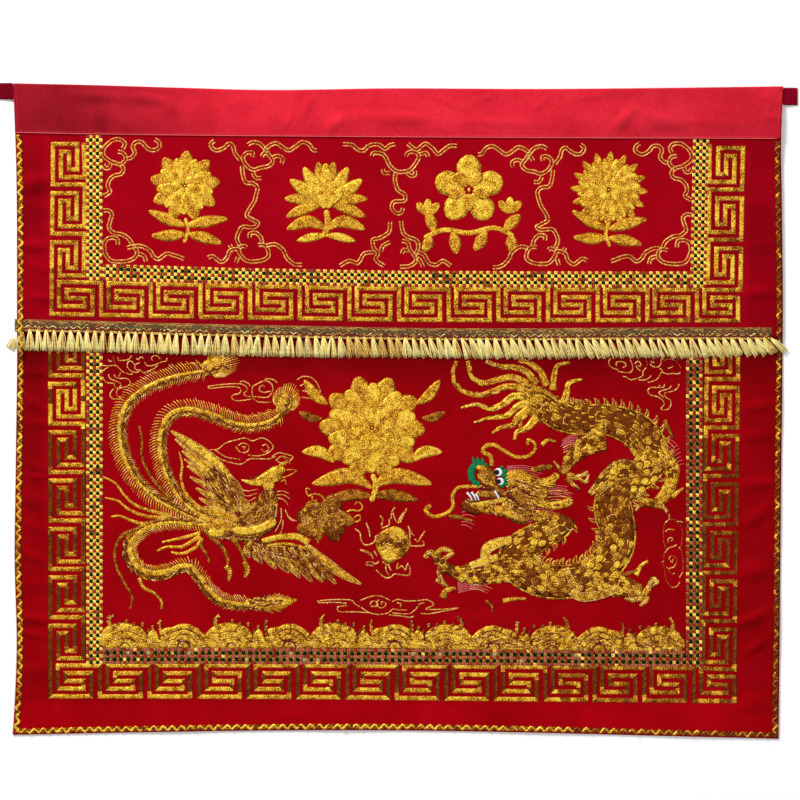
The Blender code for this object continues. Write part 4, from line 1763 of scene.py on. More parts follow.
def flowers():
    """Plain flowers in the four places of the valance's field."""
    random.seed(61)
    piece = Piece("flower_sprays", "valance", bright=BRIGHT, gold=GOLD, worn=GOLD_DIMMER)
    ground = valance_top
    m = (185, 186)
    flower_round(piece, m, 0.92, ground, (
        (9, 8, 38, 17, "gold", 0), (9, 6, 31, 15, "bright", 20), (7, 4, 21, 11, "gold", 8),
        (6, 2, 13, 8, "bright", 30)))
    sprig(piece, ((185, 218), (188, 230), (184, 243)), 1.0, ground, (
        ((186, 226), -72, 40), ((186, 226), 76, 42), ((186, 234), -98, 34), ((187, 234), 100, 36)), 12)
    flower_lotus(piece, (326, 196), 0.98, ground)
    m = (469, 196)
    for turn in range(0, 360, 72):
        petal(piece, "bright", (m[0], m[1] - 6), turn, 5, 35, 27, 0, 0.62, ground=ground)
        petal(piece, "gold", (m[0], m[1] - 6), turn + 36, 4, 21, 13, 0, 0.6, ground=ground, over=0.0004)
    knots(piece, "worn", (m[0], m[1] - 6), 8, 10, 2.6, 0.0008, ground)
    stroke(piece, "bright", 8, ((m[0] - 1.5, m[1] - 6), (m[0] + 1.5, m[1] - 6)), 0.001, 0.0007, ground)
    sprig(piece, ((424, 238), (444, 230), (469, 233), (494, 228), (514, 236)), 1.35, ground, (
        ((436, 233), -30, 17), ((452, 231), 160, 17), ((486, 230), 200, 17), ((504, 232), 34, 17),
        ((430, 235), 190, 13), ((510, 234), 165, 13)), 9)
    for x, y in ((428, 208), (510, 206)):
        for turn in (-40, 0, 40):
            petal(piece, "gold" if turn else "bright", (x, y + 8), turn, 1, 17, 10, 0, 0.6, ground=ground)
    flower_round(piece, (609, 190), 0.96, ground, (
        (16, 8, 40, 10, "gold", 0), (16, 6, 33, 8.5, "bright", 11), (12, 4, 24, 7.5, "gold", 4),
        (9, 2, 15, 6, "bright", 20)))
    sprig(piece, ((609, 222), (606, 234), (610, 247)), 1.0, ground, (
        ((608, 230), -66, 40), ((608, 230), 70, 40), ((608, 238), -94, 34), ((608, 238), 96, 34)), 12)
    piece.finish()


def medallion():
    """A large open flower among leaves in the middle of the lower field."""
    piece = Piece("flower_medallion", "lower_panel", bright=BRIGHT, gold=GOLD, worn=GOLD_DIMMER, bronze=BRONZE)
    m = (372, 428)
    ground = panel_top
    flower_round(piece, m, 1.0, ground, (
        (10, 12, 53, 24, "gold", 18), (10, 9, 45, 21, "bright", 0), (8, 7, 33, 17, "gold", 10),
        (8, 5, 23, 12, "bright", 32), (6, 2, 13, 8, "gold", 0)))
    sprig(piece, ((372, 474), (376, 486), (371, 502)), 1.5, ground, ())
    for s in (-1, 1):
        leaf(piece, ((372, 488), (372 + s * 24, 476), (372 + s * 60, 484)), 17, "gold", 0.5)
        leaf(piece, ((372, 496), (372 + s * 20, 495), (372 + s * 46, 500)), 12, "bronze", 0.5, over=0.0002)
        leaf(piece, ((372 + s * 38, 462), (372 + s * 52, 452), (372 + s * 70, 452)), 13, "bright", 0.5)
        leaf(piece, ((372 + s * 44, 404), (372 + s * 56, 396), (372 + s * 68, 380)), 12, "gold", 0.5)
        leaf(piece, ((372 + s * 50, 418), (372 + s * 60, 418), (372 + s * 73, 412)), 10, "bronze", 0.5)
    piece.finish()


# The long plumes of the bird, each from the body to where its tip starts
PLUME_HIGH = (
    (207, 523), (193, 518), (172, 508), (153, 497), (138, 482), (128, 467), (122, 450), (119, 433),
    (121, 417), (128, 402), (142, 390), (160, 381), (180, 375), (200, 371.5), (206, 370),
)
PLUME_MIDDLE = (
    (209, 518), (198, 513), (183, 502), (172, 487), (164, 470), (160, 453), (160, 437), (164, 422),
    (173, 412.5), (188, 409), (203, 411.5), (217, 416), (230, 421.5), (245, 425), (260, 424),
    (273, 419.5), (281, 413),
)
PLUME_LOW = (
    (207, 526), (190, 524), (170, 523), (150, 527), (137, 535), (130, 545), (131, 556), (138, 567),
    (152, 573), (167, 571.5), (180, 566.5), (191, 567), (200, 577), (208, 589), (221, 600), (238, 604),
    (250, 604),
)

# Thin loose plumes: a tone, a width where each starts, a width where it ends, and its places
WISPS = (
    ("gold", 2.0, 4.6, ((103, 477), (115, 483), (125, 496), (137, 506), (155, 512), (172, 516))),
    ("gold", 2.0, 4.6, ((105, 498), (118, 501), (128, 509), (145, 516), (166, 518))),
    ("gold", 2.0, 4.4, ((111, 517), (120, 516), (132, 521), (147, 525))),
    ("bronze", 2.0, 4.6, ((139, 426), (142, 440), (141.5, 455), (147, 470), (158, 486), (173, 500))),
    ("gold", 2.0, 4.8, ((179, 452), (182, 464), (181, 478), (185, 492), (195, 504), (207, 512))),
    ("bronze", 4.2, 2.4, ((142, 528), (123, 535), (115, 550), (116, 566), (124, 582), (132, 597),
                          (130, 609))),
    ("gold", 4.2, 2.4, ((139, 578), (143, 587), (155, 594), (162, 603), (161, 609))),
    ("gold", 4.4, 2.4, ((200, 533), (190, 536), (177, 539), (162, 542.5))),
    ("gold", 4.8, 2.4, ((200, 536), (191, 542), (181, 547), (167, 547), (157, 551))),
    ("gold", 4.6, 2.6, ((202, 538), (196, 547), (183, 553.5), (171, 552.5))),
    ("bronze", 4.0, 2.2, ((201, 539), (202, 548), (207, 555), (209, 563))),
    ("bronze", 5.2, 3.0, ((208, 535), (217, 542), (224, 550), (228, 561), (228, 572))),
    ("bronze", 5.2, 3.0, ((229, 536), (236, 543), (242, 553), (246, 565), (245, 573))),
    ("worn", 6.5, 3.0, ((226, 566), (230, 572), (228, 581))),
    ("worn", 6.5, 3.0, ((244, 562), (248, 570), (244, 578))),
)
# Feathers of the two wings: a tone, a width, and the places from the shoulder to the tip
WING_HIGH = (
    ("bright", 9.5, ((238, 486), (216, 463), (194, 446), (171, 431))),
    ("gold", 4.5, ((232, 486), (210, 467), (192, 454), (175, 439))),
    ("bright", 6.5, ((232, 490), (212, 474), (198, 463), (182, 451))),
    ("gold", 4.5, ((230, 494), (214, 482), (200, 471), (184, 459))),
    ("bright", 6.5, ((232, 498), (214, 486), (202, 475), (187, 466))),
    ("gold", 6.0, ((232, 502), (214, 491), (203, 484), (190, 477))),
    ("worn", 6.0, ((233, 507), (217, 499), (206, 494), (196, 488))),
    ("gold", 5.5, ((235, 512), (220, 506), (209, 503), (199, 498))),
    ("worn", 5.0, ((236, 516), (224, 512), (214, 509), (203, 507))),
)

# Short feathers over the raised wing, then those of the low wing
WING_SHORT = (
    ("bronze", 8.0, ((243, 498), (236, 486), (228, 476))),
    ("worn", 6.5, ((238, 502), (229, 490), (219, 479))),
    ("bronze", 6.0, ((240, 508), (230, 498), (219, 488))),
    ("worn", 6.0, ((243, 513), (233, 505), (222, 497))),
    ("gold", 5.0, ((247, 514), (241, 503), (236, 492))),
    ("worn", 5.0, ((251, 512), (246, 503), (239, 497))),
)
WING_LOW = (
    ("worn", 6.5, ((252, 541), (247, 549), (250, 558))),
    ("bronze", 6.5, ((260, 543), (256, 553), (262, 564))),
    ("worn", 7.0, ((268, 544), (267, 556), (276, 569))),
    ("bronze", 7.0, ((276, 545), (277, 558), (289, 573))),
    ("worn", 7.0, ((284, 546), (287, 560), (300, 578))),
    ("bronze", 7.0, ((292, 547), (297, 562), (312, 582))),
    ("worn", 7.0, ((299, 547), (307, 563), (323, 582))),
    ("bronze", 7.0, ((305, 546), (318, 563), (336, 584))),
    ("gold", 8.5, ((308, 545), (324, 560), (342, 574), (361, 584))),
)


def scales(piece, path, widths, dulls, apart=9.6, over=0.0):
    """Rows of overlapping scales over a run: brown fans with bright notches between them."""
    lengths = [0.0]
    for a, b in zip(path, path[1:]):
        lengths.append(lengths[-1] + math.dist(a, b))
    whole = lengths[-1]
    turned = sides(path, 1.2)
    count = int(whole / (apart * 0.64))
    for j in range(1, count):
        s = j * whole / count
        i = next(k for k in range(1, len(lengths)) if lengths[k] >= s)
        x, y = path[i]
        sx, sy = turned[i]
        dx, dy = sy, -sx
        w = widths[i] - 3.0
        many = max(1, round(w / apart))
        shift = 0.25 if j % 2 else -0.25
        for k in range(many):
            at = ((k + 0.5 + shift) / many - 0.5) * w
            cx = x + sx * at
            cy = y + sy * at
            dull = dulls[i] + 0.2 * math.sin(0.9 * j + 1.7 * k)
            chance = random.random()
            if chance < dull:
                tone = "bronze" if random.random() < 0.3 else "dark"
            elif chance < dull + 0.22:
                tone = "worn"
            else:
                tone = "bright" if random.random() < 0.6 else "gold"
            crown = over + 0.0008 * (1 - (2 * at / widths[i]) ** 2)
            long = apart * 0.42
            leaf(piece, ((cx + dx * long, cy + dy * long), (cx, cy), (cx - dx * long, cy - dy * long)),
                 apart * 0.9, tone, peak=0.45, tip=0.25, step=2.4, high=0.0003, over=0.0004 + crown)
            for side in (-1, 1):
                if abs(at + side * apart * 0.5) > widths[i] / 2 - 1.0:
                    continue
                nx = cx + sx * side * apart * 0.46 - dx * long * 0.5
                ny = cy + sy * side * apart * 0.46 - dy * long * 0.5
                notch = "bright" if random.random() < 0.95 - 0.6 * dull else "gold"
                if random.random() < 0.6:
                    cut = ((nx - dx * 2.4, ny - dy * 2.4), (nx, ny), (nx + dx * 3.2, ny + dy * 3.2))
                    taper(piece, cut, 3.0, 0.8, notch, high=FINE, over=0.0006 + crown, step=2.0)
            rim = []
            for n in range(5):
                a = math.pi * (n / 4 - 0.5)
                out = math.sin(a) * apart * 0.46
                fore = 1.2 + math.cos(a) * long * 0.9
                rim.append((cx + sx * out - dx * fore, cy + sy * out - dy * fore))
            edge = random.choice(("cream", "gold", "gold", "dark", "wine"))
            if random.random() < 0.7:
                band(piece, rim, 1.0, edge, high=0.0004, over=0.0006 + crown)


def barbs(piece, spine, near, far, pace, long_left, long_right, tones, sweep=0.35, over=0.0, inner=0.0):
    """Fine threads off both sides of a plume. sweep leans them back along it."""
    path = smooth(spine, pace)
    turned = sides(path, 1.2)
    last = len(path) - 1
    for i in range(1, last):
        t = i / last
        sx, sy = turned[i]
        dx, dy = sy, -sx
        for side, long in ((-1, long_left), (1, long_right)):
            x = path[i][0] + sx * side * inner
            y = path[i][1] + sy * side * inner
            reach = (near + (far - near) * t) * long * random.uniform(0.85, 1.1) - inner
            lean = sweep * reach
            mid = (x + sx * side * reach * 0.5 - dx * lean * 0.35,
                   y + sy * side * reach * 0.5 - dy * lean * 0.35)
            end = (x + sx * side * reach - dx * lean, y + sy * side * reach - dy * lean)
            band(piece, [(x, y), mid, end], [1.5, 1.3, 0.8], random.choice(tones), high=LINE, over=over)


def plume(piece, spine, long_left, long_right, core):
    """A long tail feather: a bright quill, a duller bed beside it and barbs down both sides."""
    barbs(piece, spine, 0.85, 1.05, 2.75, long_left, long_right, ("cream", "cream", "gold", "bright"),
          sweep=0.55, inner=1.5)
    path = smooth(spine, 2.2)
    last = len(path) - 1
    widths = [core * (0.7 + 0.5 * math.sin(math.pi * i / last)) for i in range(last + 1)]
    turned = sides(path, 1.2)
    bed = [(x + sx * 1.8, y + sy * 1.8) for (x, y), (sx, sy) in zip(path, turned)]
    wide = [w * 2.2 for w in widths]
    kinds = ["dark" if random.random() < 0.65 else "bronze" for _ in path]
    band(piece, bed, wide, kinds, high=LINE)
    speckle(piece, bed, wide, ("cream", "dark", "bronze", "gold", "dark"), 5.0, 0.0004, 5.0, 0.5)
    kinds = ["bright" if random.random() < 0.6 else "gold" for _ in path]
    band(piece, path, widths, kinds, high=SATIN, over=0.0001, ribs=5)
    speckle(piece, path, widths, ("dark", "cream", "bronze"), 9.0, 0.0007, 3.0, 0.5)


def plume_eye(piece, foot, tip, wide, fan, reach):
    """The round eye of a plume with its spray of threads, swept towards the tip."""
    turn = math.degrees(math.atan2(tip[0] - foot[0], foot[1] - tip[1]))
    middle = ((foot[0] + tip[0]) / 2, (foot[1] + tip[1]) / 2)
    count = 25
    around = 118
    for n in range(count):
        share = n / (count - 1) * 2 - 1
        a = math.radians(turn + share * around)
        swept = math.radians(turn + share * fan)
        start = (middle[0] + math.sin(a) * wide * 0.46, middle[1] - math.cos(a) * wide * 0.46)
        far = reach * (1 - 0.5 * abs(share)) * random.uniform(0.88, 1.05)
        mid_turn = (a + swept) / 2
        mid = (start[0] + math.sin(mid_turn) * far * 0.4, start[1] - math.cos(mid_turn) * far * 0.4)
        end = (mid[0] + math.sin(swept) * far * 0.6, mid[1] - math.cos(swept) * far * 0.6)
        band(piece, [start, mid, end], [1.7, 1.5, 0.8], random.choice(("cream", "gold", "bright", "gold")),
             high=LINE)
    stroke(piece, "gold", wide, (foot, middle, tip), 0.0009)
    strewn(piece, (foot, middle, tip), 1.6, wide * 0.9, ("cream", "dark", "bright", "wine", "gold"),
           4.5, 0.0008, 3.6, 1.2)
    for out in (0.28, 0.62):
        arc = []
        for n in range(5):
            a = math.radians(turn + 90 + 70 * (n / 2 - 1))
            arc.append((foot[0] + (tip[0] - foot[0]) * out + math.sin(a) * wide * 0.24,
                        foot[1] + (tip[1] - foot[1]) * out - math.cos(a) * wide * 0.24))
        band(piece, arc, 1.5, "wine", high=FINE, over=0.0013)


def outlined(piece, tone, wide, line, edge="cream", over=0.0, peak=0.5):
    """A feather with a fine thread down each side."""
    leaf(piece, line, wide, tone, peak=peak, over=over, high=0.0008)
    path = smooth(line, 3.0)
    turned = sides(path, 1.2)
    last = len(path) - 1
    for side in (-1, 1):
        edge_line = []
        for i, ((x, y), (sx, sy)) in enumerate(zip(path, turned)):
            t = i / last
            w = (0.15 + 0.85 * math.sin(min(t / peak, (1 - t) / (1 - peak)) * math.pi / 2)) * wide / 2
            edge_line.append((x + sx * side * w, y + sy * side * w))
        band(piece, edge_line, 0.9, edge, high=FINE, over=over + 0.0002)


# Width of the bird's body along its length
BODY_WIDE = table(
    "share wide",
    (0.0, 12),
    (0.16, 24),
    (0.36, 38),
    (0.55, 30),
    (0.75, 19),
    (0.92, 12),
    (1.0, 5),
)


def bird():
    """The long-tailed bird of the left field."""
    random.seed(71)
    piece = Piece("stitched_bird", "lower_panel", **GOLD_TONES, cream=CREAM, wine=DEEP_WINE)
    plume(piece, PLUME_HIGH, 11.5, 9.0, 4.2)
    plume(piece, PLUME_MIDDLE, 11.0, 8.5, 4.4)
    plume(piece, PLUME_LOW, 8.5, 7.0, 5.2)
    plume_eye(piece, (202, 370), (226, 362), 18, 20, 19)
    plume_eye(piece, (281, 414), (288, 394), 17, 40, 15)
    barbs(piece, ((243, 604), (254, 604), (266, 604)), 0.45, 1.0, 1.7, 10.5, 10.5,
          ("cream", "dark", "gold", "bright"), sweep=-1.0)
    barbs(piece, ((264, 604), (276, 603), (288, 601)), 1.0, 0.25, 1.5, 10.0, 10.0,
          ("cream", "gold", "bright", "gold"), sweep=-1.5)
    leaf(piece, ((246, 604), (266, 604), (297, 600)), 13, "gold", 0.36)
    strewn(piece, ((250, 604), (258, 603.5), (267, 603)), 1.8, 14.0,
           ("wine", "dark", "bright", "wine", "cream"), 3.6, 0.0009, 4.0, 0.8)
    strewn(piece, ((270, 603), (279, 602), (288, 601)), 1.8, 8.0, ("cream", "bright", "wine"),
           5.0, 0.0008, 5.0, 0.2)
    for tone, start, end, line in WISPS:
        taper(piece, line, start, end, tone, high=0.0008, ribs=5)
    leaf(piece, ((243, 543), (270, 551), (300, 560), (334, 578)), 24, "dark", 0.55, high=LINE)
    strewn(piece, ((250, 546), (275, 553), (300, 560), (328, 575)), 2.0, 22.0,
           ("bronze", "wine", "dark", "cream"), 4.0, 0.0006, 5.0, 0.5)
    for tone, wide, line in WING_LOW:
        outlined(piece, tone, wide, line)
    for _ in range(70):
        t = random.random()
        x = 250 + 56 * t + random.uniform(-4, 4)
        y = 546 + random.uniform(0, 18) * (0.5 + 0.5 * t)
        taper(piece, ((x, y), (x + 1.6, y + 3.4), (x + 3.6, y + 6)), 1.3, 0.6,
              random.choice(("cream", "gold", "wine")), high=FINE, over=0.0006)
    taper(piece, ((262, 541), (281, 537), (297, 537), (309, 543)), 5, 8, "bright",
          high=0.0011, over=0.0004, ribs=5)
    taper(piece, ((268, 546), (284, 544), (298, 546), (308, 550)), 4, 3, "gold", high=SATIN, over=0.0004)
    for tone, wide, line in WING_HIGH:
        outlined(piece, tone, wide, line)
    for tone, wide, line in WING_SHORT:
        outlined(piece, tone, wide, line, over=0.0004)
    for wide, run in (
        (17.0, ((212, 470), (226, 486), (238, 504))),
        (14.0, ((222, 478), (234, 494), (243, 512))),
        (12.0, ((206, 476), (216, 492), (230, 510))),
    ):
        strewn(piece, run, 2.6, wide, ("dark", "wine", "dark", "bronze", "cream"), 4.2, 0.0012, 7.0, 0.3)
    path = smooth(((272, 491), (267, 502), (262, 514), (250, 525), (234, 530), (216, 531), (203, 529)), 2.4)
    widths = [straight(BODY_WIDE, "share", "wide", i / (len(path) - 1)) for i in range(len(path))]
    band(piece, path, widths, "dark", high=0.0011, ribs=5)
    for _ in range(2):
        speckle(piece, path, widths, ("gold", "bright", "wine", "gold", "cream", "bronze"),
                3.2, 0.0009, 5.0, 0.9)
    for wide, line in ((9, ((240, 521), (222, 515), (203, 509))), (9, ((240, 526), (220, 523), (199, 517))),
                       (8, ((236, 530), (218, 528), (198, 525)))):
        outlined(piece, "gold", wide, line, over=0.0004)
    stroke(piece, "bright", 8, ((208, 532), (216, 533.5), (224, 532)), 0.0010, 0.0012)
    stroke(piece, "bright", 9, ((233, 530), (246, 531), (262, 528), (276, 520)), 0.0010, 0.0012)
    taper(piece, ((234, 536), (250, 538), (266, 533), (279, 524)), 1.3, 1.0, "wine", high=FINE, over=0.0008)
    taper(piece, ((246, 527), (262, 524), (274, 516)), 1.0, 0.9, "cream", high=FINE, over=0.0018)
    for line in (((272, 500), (268, 514), (258, 525)), ((277, 503), (275, 517), (268, 529)),
                 ((281, 508), (281, 520), (275, 532)), ((283, 520), (282, 530), (277, 538))):
        taper(piece, line, 1.4, 0.8, "cream", high=LINE, over=0.0007)
    for tone, wide, line in (
        ("worn", 8.0, ((262, 481), (272, 480), (282, 474))),
        ("bright", 10.0, ((263, 483), (268, 485.5), (274, 485))),
    ):
        stroke(piece, tone, wide, line, 0.0010, 0.0003)
    leaf(piece, ((241.5, 480), (253, 482.5), (264, 478), (278, 470), (286, 470)), 10.5, "bright", 0.68,
         high=0.0010, over=0.0006)
    leaf(piece, ((252, 484), (260, 484), (268, 480)), 4.0, "gold", 0.5, high=0.0008, over=0.0007)
    strewn(piece, ((248, 481), (264, 477), (280, 471)), 2.0, 8.0, ("bronze", "cream", "dark"),
           6.0, 0.0015, 4.0, 0.4)
    stroke(piece, "dark", 1.8, ((270, 478.5), (272.5, 478)), 0.0006, 0.0011, step=1.0)
    for line in (((280, 475), (287, 470), (297, 470)), ((281, 478), (288, 476), (297, 471)),
                 ((279, 466), (283, 462), (286, 466)), ((282, 466), (287, 460), (290, 464)),
                 ((281, 482), (285, 480), (286, 485)), ((276, 461), (282, 456), (290, 459), (293, 457))):
        taper(piece, line, 1.9, 1.1, "gold", high=0.0007)
    for k in range(8):
        x = 263 + 1.9 * k
        taper(piece, ((x, 490), (x - 0.5, 495), (x - 1 + 0.4 * k, 501)), 1.5, 0.8, "wine",
              high=0.0007, over=0.0008)
    for line in (((240, 489), (248, 491), (258, 489)), ((238, 493), (248, 496), (257, 493)),
                 ((240, 498), (249, 501), (256, 497)), ((276, 492), (283, 491), (289, 494)),
                 ((277, 495), (284, 495), (290, 499)), ((278, 498), (284, 500), (288, 505)),
                 ((285, 510), (289, 517), (296, 521)), ((287, 515), (291, 520), (297, 521))):
        taper(piece, line, 1.5, 0.9, "cream", high=LINE)
    piece.finish()


# The dragon's body from its tail to its neck, with its width and what share of its scales are dark
SERPENT = table(
    "x y wide dull",
    (541, 402, 22, 0.7),
    (556, 413, 32, 0.8),
    (578, 420, 31, 0.85),
    (600, 419, 31, 0.85),
    (620, 423, 34, 0.9),
    (638, 432, 37, 0.85),
    (649, 446, 37, 0.65),
    (652, 460, 34, 0.5),
    (642, 474, 32, 0.45),
    (626, 485, 34, 0.6),
    (614, 499, 38, 0.95),
    (614, 514, 40, 0.95),
    (618, 530, 37, 0.85),
    (617, 547, 36, 0.7),
    (607, 563, 36, 0.45),
    (589, 576, 35, 0.4),
    (566, 582, 35, 0.5),
    (543, 580, 36, 0.6),
    (522, 570, 36, 0.85),
    (516, 556, 36, 0.85),
    (526, 544, 32, 0.5),
    (543, 535, 29, 0.45),
    (560, 526, 26, 0.8),
    (566, 516, 20, 0.85),
)

# Flames, claws, whiskers and flecks: a tone, a width where each starts, a width where it ends, and its places
TAIL_FLAMES = (
    ("gold", 7.5, 4.0, ((524, 388), (507, 386.5), (494, 391), (481, 395), (467, 393), (456, 385), (453, 373),
                        (456.5, 361))),
    ("gold", 8.5, 4.5, ((528, 384), (513, 377.5), (499, 379.5), (484, 383), (472, 377), (468, 361))),
    ("worn", 9.0, 4.0, ((537, 384), (528, 373), (515, 367.5), (500, 366.5), (486, 361.5))),
    ("gold", 8.5, 4.5, ((547, 386), (540, 371), (528, 362.5), (519, 360))),
    ("gold", 8.0, 3.0, ((553, 390), (554, 376), (558, 365.5), (570, 362.5))),
    ("bright", 9.0, 2.6, ((563, 404), (567, 392), (569, 383), (582, 379.5))),
    ("bright", 10.0, 2.2, ((528, 397), (514, 396.5), (502, 404.5), (490, 409), (477, 404.5), (461, 408))),
    ("bright", 9.0, 2.2, ((528, 402), (517, 407), (507, 415.5), (490, 418), (474, 422.5))),
    ("gold", 9.5, 2.6, ((530, 408), (518, 417), (513, 425), (500, 427.5), (492, 433.5))),
    ("bright", 10.0, 2.6, ((537, 417), (527, 428), (517, 432), (514.5, 440))),
    ("gold", 4.5, 2.0, ((527, 415), (521, 422), (519, 428))),
)

# Legs: a tone, the places along each, and its width at each place
LIMBS = (
    ("bronze", ((606, 441), (589, 444), (574, 455), (566, 468), (566, 474)), (21, 22, 17, 10, 8)),
    ("gold", ((650, 452), (664, 458), (672, 470), (671, 484), (664, 496), (655, 503), (643, 501)),
     (22, 22, 17, 14, 13, 10, 7)),
    ("bronze", ((596, 492), (608, 478), (622, 470), (636, 470)), (12, 18, 22, 17)),
    ("worn", ((590, 494), (597, 486), (606, 482)), (5, 7, 5)),
    ("bronze", ((524, 566), (500, 568), (474, 573), (457, 573), (444, 566), (436, 557)),
     (28, 31, 24, 14, 11, 9)),
    ("bright", ((484, 560), (487, 549), (498, 543), (512, 539)), (7, 11, 10, 7)),
    ("bright", ((470, 566), (484, 561), (498, 557)), (6, 8, 6)),
    ("bronze", ((592, 580), (606, 584), (626, 587), (642, 592)), (24, 25, 21, 13)),
    ("worn", ((571, 592), (582, 597), (600, 595), (618, 589)), (7, 10, 9, 6)),
    ("worn", ((566, 568), (572, 582), (581, 592)), (5, 7, 5)),
)

CLAWS = (
    ("bronze", 7.0, 3.0, ((565, 473), (559, 468), (554, 461))),
    ("worn", 8.0, 4.0, ((567, 475), (577, 477), (588, 472))),
    ("worn", 4.5, 2.4, ((579, 478), (585, 482), (589, 475))),
    ("bronze", 7.0, 2.6, ((567, 478), (573, 484), (580, 489))),
    ("worn", 8.0, 4.0, ((647, 502), (639, 498), (636, 491))),
    ("bronze", 7.0, 3.0, ((645, 504), (639, 506), (636, 511))),
    ("worn", 8.0, 2.6, ((652, 504), (663, 507), (668, 512))),
    ("worn", 8.0, 3.4, ((438, 559), (431, 552), (424, 557))),
    ("gold", 6.0, 5.0, ((437, 554), (443, 549), (453, 552.5))),
    ("gold", 6.0, 4.0, ((441, 561), (447, 557), (454, 552.5))),
    ("bronze", 7.5, 4.5, ((441, 564), (440, 575), (445, 585))),
    ("worn", 4.5, 3.0, ((436, 580), (441, 583), (448, 586))),
    ("gold", 8.5, 4.0, ((643, 596), (650, 586), (654, 577))),
    ("worn", 8.0, 4.0, ((645, 596), (635, 600), (625, 598))),
    ("gold", 7.0, 3.4, ((647, 596), (645, 602), (640, 606))),
    ("bright", 4.5, 2.4, ((654, 578), (657, 582), (653, 586))),
)

# The head: a tone, a width and the places of each run
HEAD = (
    ("bronze", 22, ((506, 506), (520, 513), (532, 516))),
    ("worn", 26, ((508, 484), (520, 488), (538, 493), (546, 498))),
    ("bronze", 12, ((516, 490), (528, 494), (540, 500))),
    ("gold", 13, ((506, 478), (518, 476), (532, 480))),
    ("bronze", 16, ((512, 494), (526, 500), (536, 508))),
    ("dark", 10, ((462, 503), (470, 508), (480, 512))),
    ("gold", 10, ((464, 502), (475, 506), (488, 509), (502, 511), (516, 516))),
    ("bright", 5, ((474, 503), (486, 503), (497, 501), (506, 499))),
    ("worn", 16, ((502, 505), (512, 511), (522, 518))),
    ("worn", 7, ((476, 494), (488, 494), (500, 497))),
    ("bronze", 8, ((486, 484), (496, 489), (506, 496))),
    ("bronze", 15, ((479, 470), (486, 474), (495, 480))),
    ("gold", 7, ((478, 474), (484, 480), (494, 486))),
    ("bright", 5, ((476, 468), (481, 466.5), (486, 469))),
    ("gold", 9, ((534, 483), (548, 482), (556, 477), (559, 478.5))),
    ("bright", 4, ((538, 482), (548, 480.5), (556, 476))),
    ("bronze", 6, ((531, 471), (543, 467.5), (553, 467))),
    ("gold", 9, ((530, 500.5), (551, 505.5), (565, 503.5), (573, 500))),
    ("bright", 4, ((538, 502), (551, 504), (564, 502))),
    ("worn", 8, ((524, 511), (534, 517), (546, 520))),
    ("gold", 7, ((536, 512), (548, 516), (560, 519))),
)

# Loose stitches over the head: how wide they are strewn, and the places of each run
HEAD_RUNS = (
    (24, ((507, 484), (520, 488), (538, 494))),
    (14, ((504, 500), (514, 506), (526, 512))),
    (9, ((464, 503), (478, 507), (494, 511), (508, 514))),
    (7, ((534, 483), (548, 482), (557, 478))),
    (7, ((532, 501), (551, 505.5), (570, 502))),
    (6, ((486, 485), (496, 490), (506, 497))),
    (8, ((524, 512), (536, 517), (552, 518))),
)

# Dark lines and pale curls of the face
HEAD_LINES = (
    ((464, 498.5), (471, 502), (480, 501), (490, 497), (497, 497)),
    ((480, 487), (486, 489.5), (492, 489.5), (497, 493), (504, 497)),
    ((482, 486), (489, 485.5), (494, 489)),
    ((506, 496), (513, 498), (520, 505), (530, 511)),
    ((484, 508), (490, 507), (489, 512)),
    ((512, 487), (522, 490), (532, 497)),
    ((516, 481), (528, 485), (540, 489)),
    ((512, 502), (517, 508), (524, 511)),
)
HEAD_CURLS = (
    ((508, 500), (513, 503), (512, 508), (507, 508)),
    ((518, 508), (524, 510), (524, 515), (519, 515)),
    ((512, 512), (518, 516), (516, 520)),
    ((527, 503), (533, 505), (533, 509), (529, 509)),
    ((486, 503), (491, 501), (496, 503), (494, 507)),
    ((507, 481), (514, 479), (521, 481)),
    ((510, 491), (518, 492), (526, 497)),
    ((522, 485), (531, 487), (540, 493)),
)

# Each green spike: its foot and its tip
GREEN_SPIKES = (
    ((477, 467), (472.3, 457)),
    ((480, 466), (477.2, 457)),
    ((483, 467), (482.2, 457.5)),
    ((486, 468), (485.8, 463)),
    ((475, 469), (469, 466.5)),
    ((473, 473), (468.8, 472)),
    ((473, 477), (468.5, 480.5)),
    ((475, 480), (473, 485)),
    ((478, 481), (478.5, 487)),
    ((499, 472), (503, 465.5)),
    ((501, 473), (508, 469.5)),
    ((501, 475), (508.5, 475.5)),
    ((503, 480), (510, 480)),
    ((503, 483), (509, 485.5)),
    ((501, 484), (503, 488)),
)

WHISKERS = (
    ("gold", 5.0, 3.0, ((491.5, 466), (491, 457), (483, 451.5), (486, 446), (494, 445), (503, 450),
                        (515, 456.5), (527, 456.5), (535, 450), (534, 442.5), (528, 440), (528, 445))),
    ("gold", 3.4, 4.2, ((485, 487), (470, 486.5), (458, 488), (452.5, 496), (453, 507), (445, 514),
                        (433, 516.5), (425.5, 510), (431, 505.5))),
)

# Tufts of pink hair: where each starts, its turn, the length and count of its hairs, and how far they fan out
PINK_HAIRS = table(
    "x y turn long count fan",
    (507, 470, 8, 36, 6, 9),
    (538, 490, 4, 34, 6, 8),
    (536, 498, -4, 38, 4, 8),
    (528, 507, 2, 30, 6, 9),
    (524, 520, -16, 20, 5, 10),
    (563, 447, -20, 16, 6, 14),
    (578, 440, 164, 18, 5, 12),
    (602, 566, 22, 15, 7, 16),
    (607, 574, -12, 16, 5, 10),
    (458, 588, -12, 28, 7, 12),
    (470, 584, 8, 22, 6, 12),
    (462, 517, 10, 14, 6, 20),
    (668, 470, 50, 14, 6, 22),
    (664, 446, 40, 14, 6, 20),
    (672, 462, -40, 14, 6, 20),
)

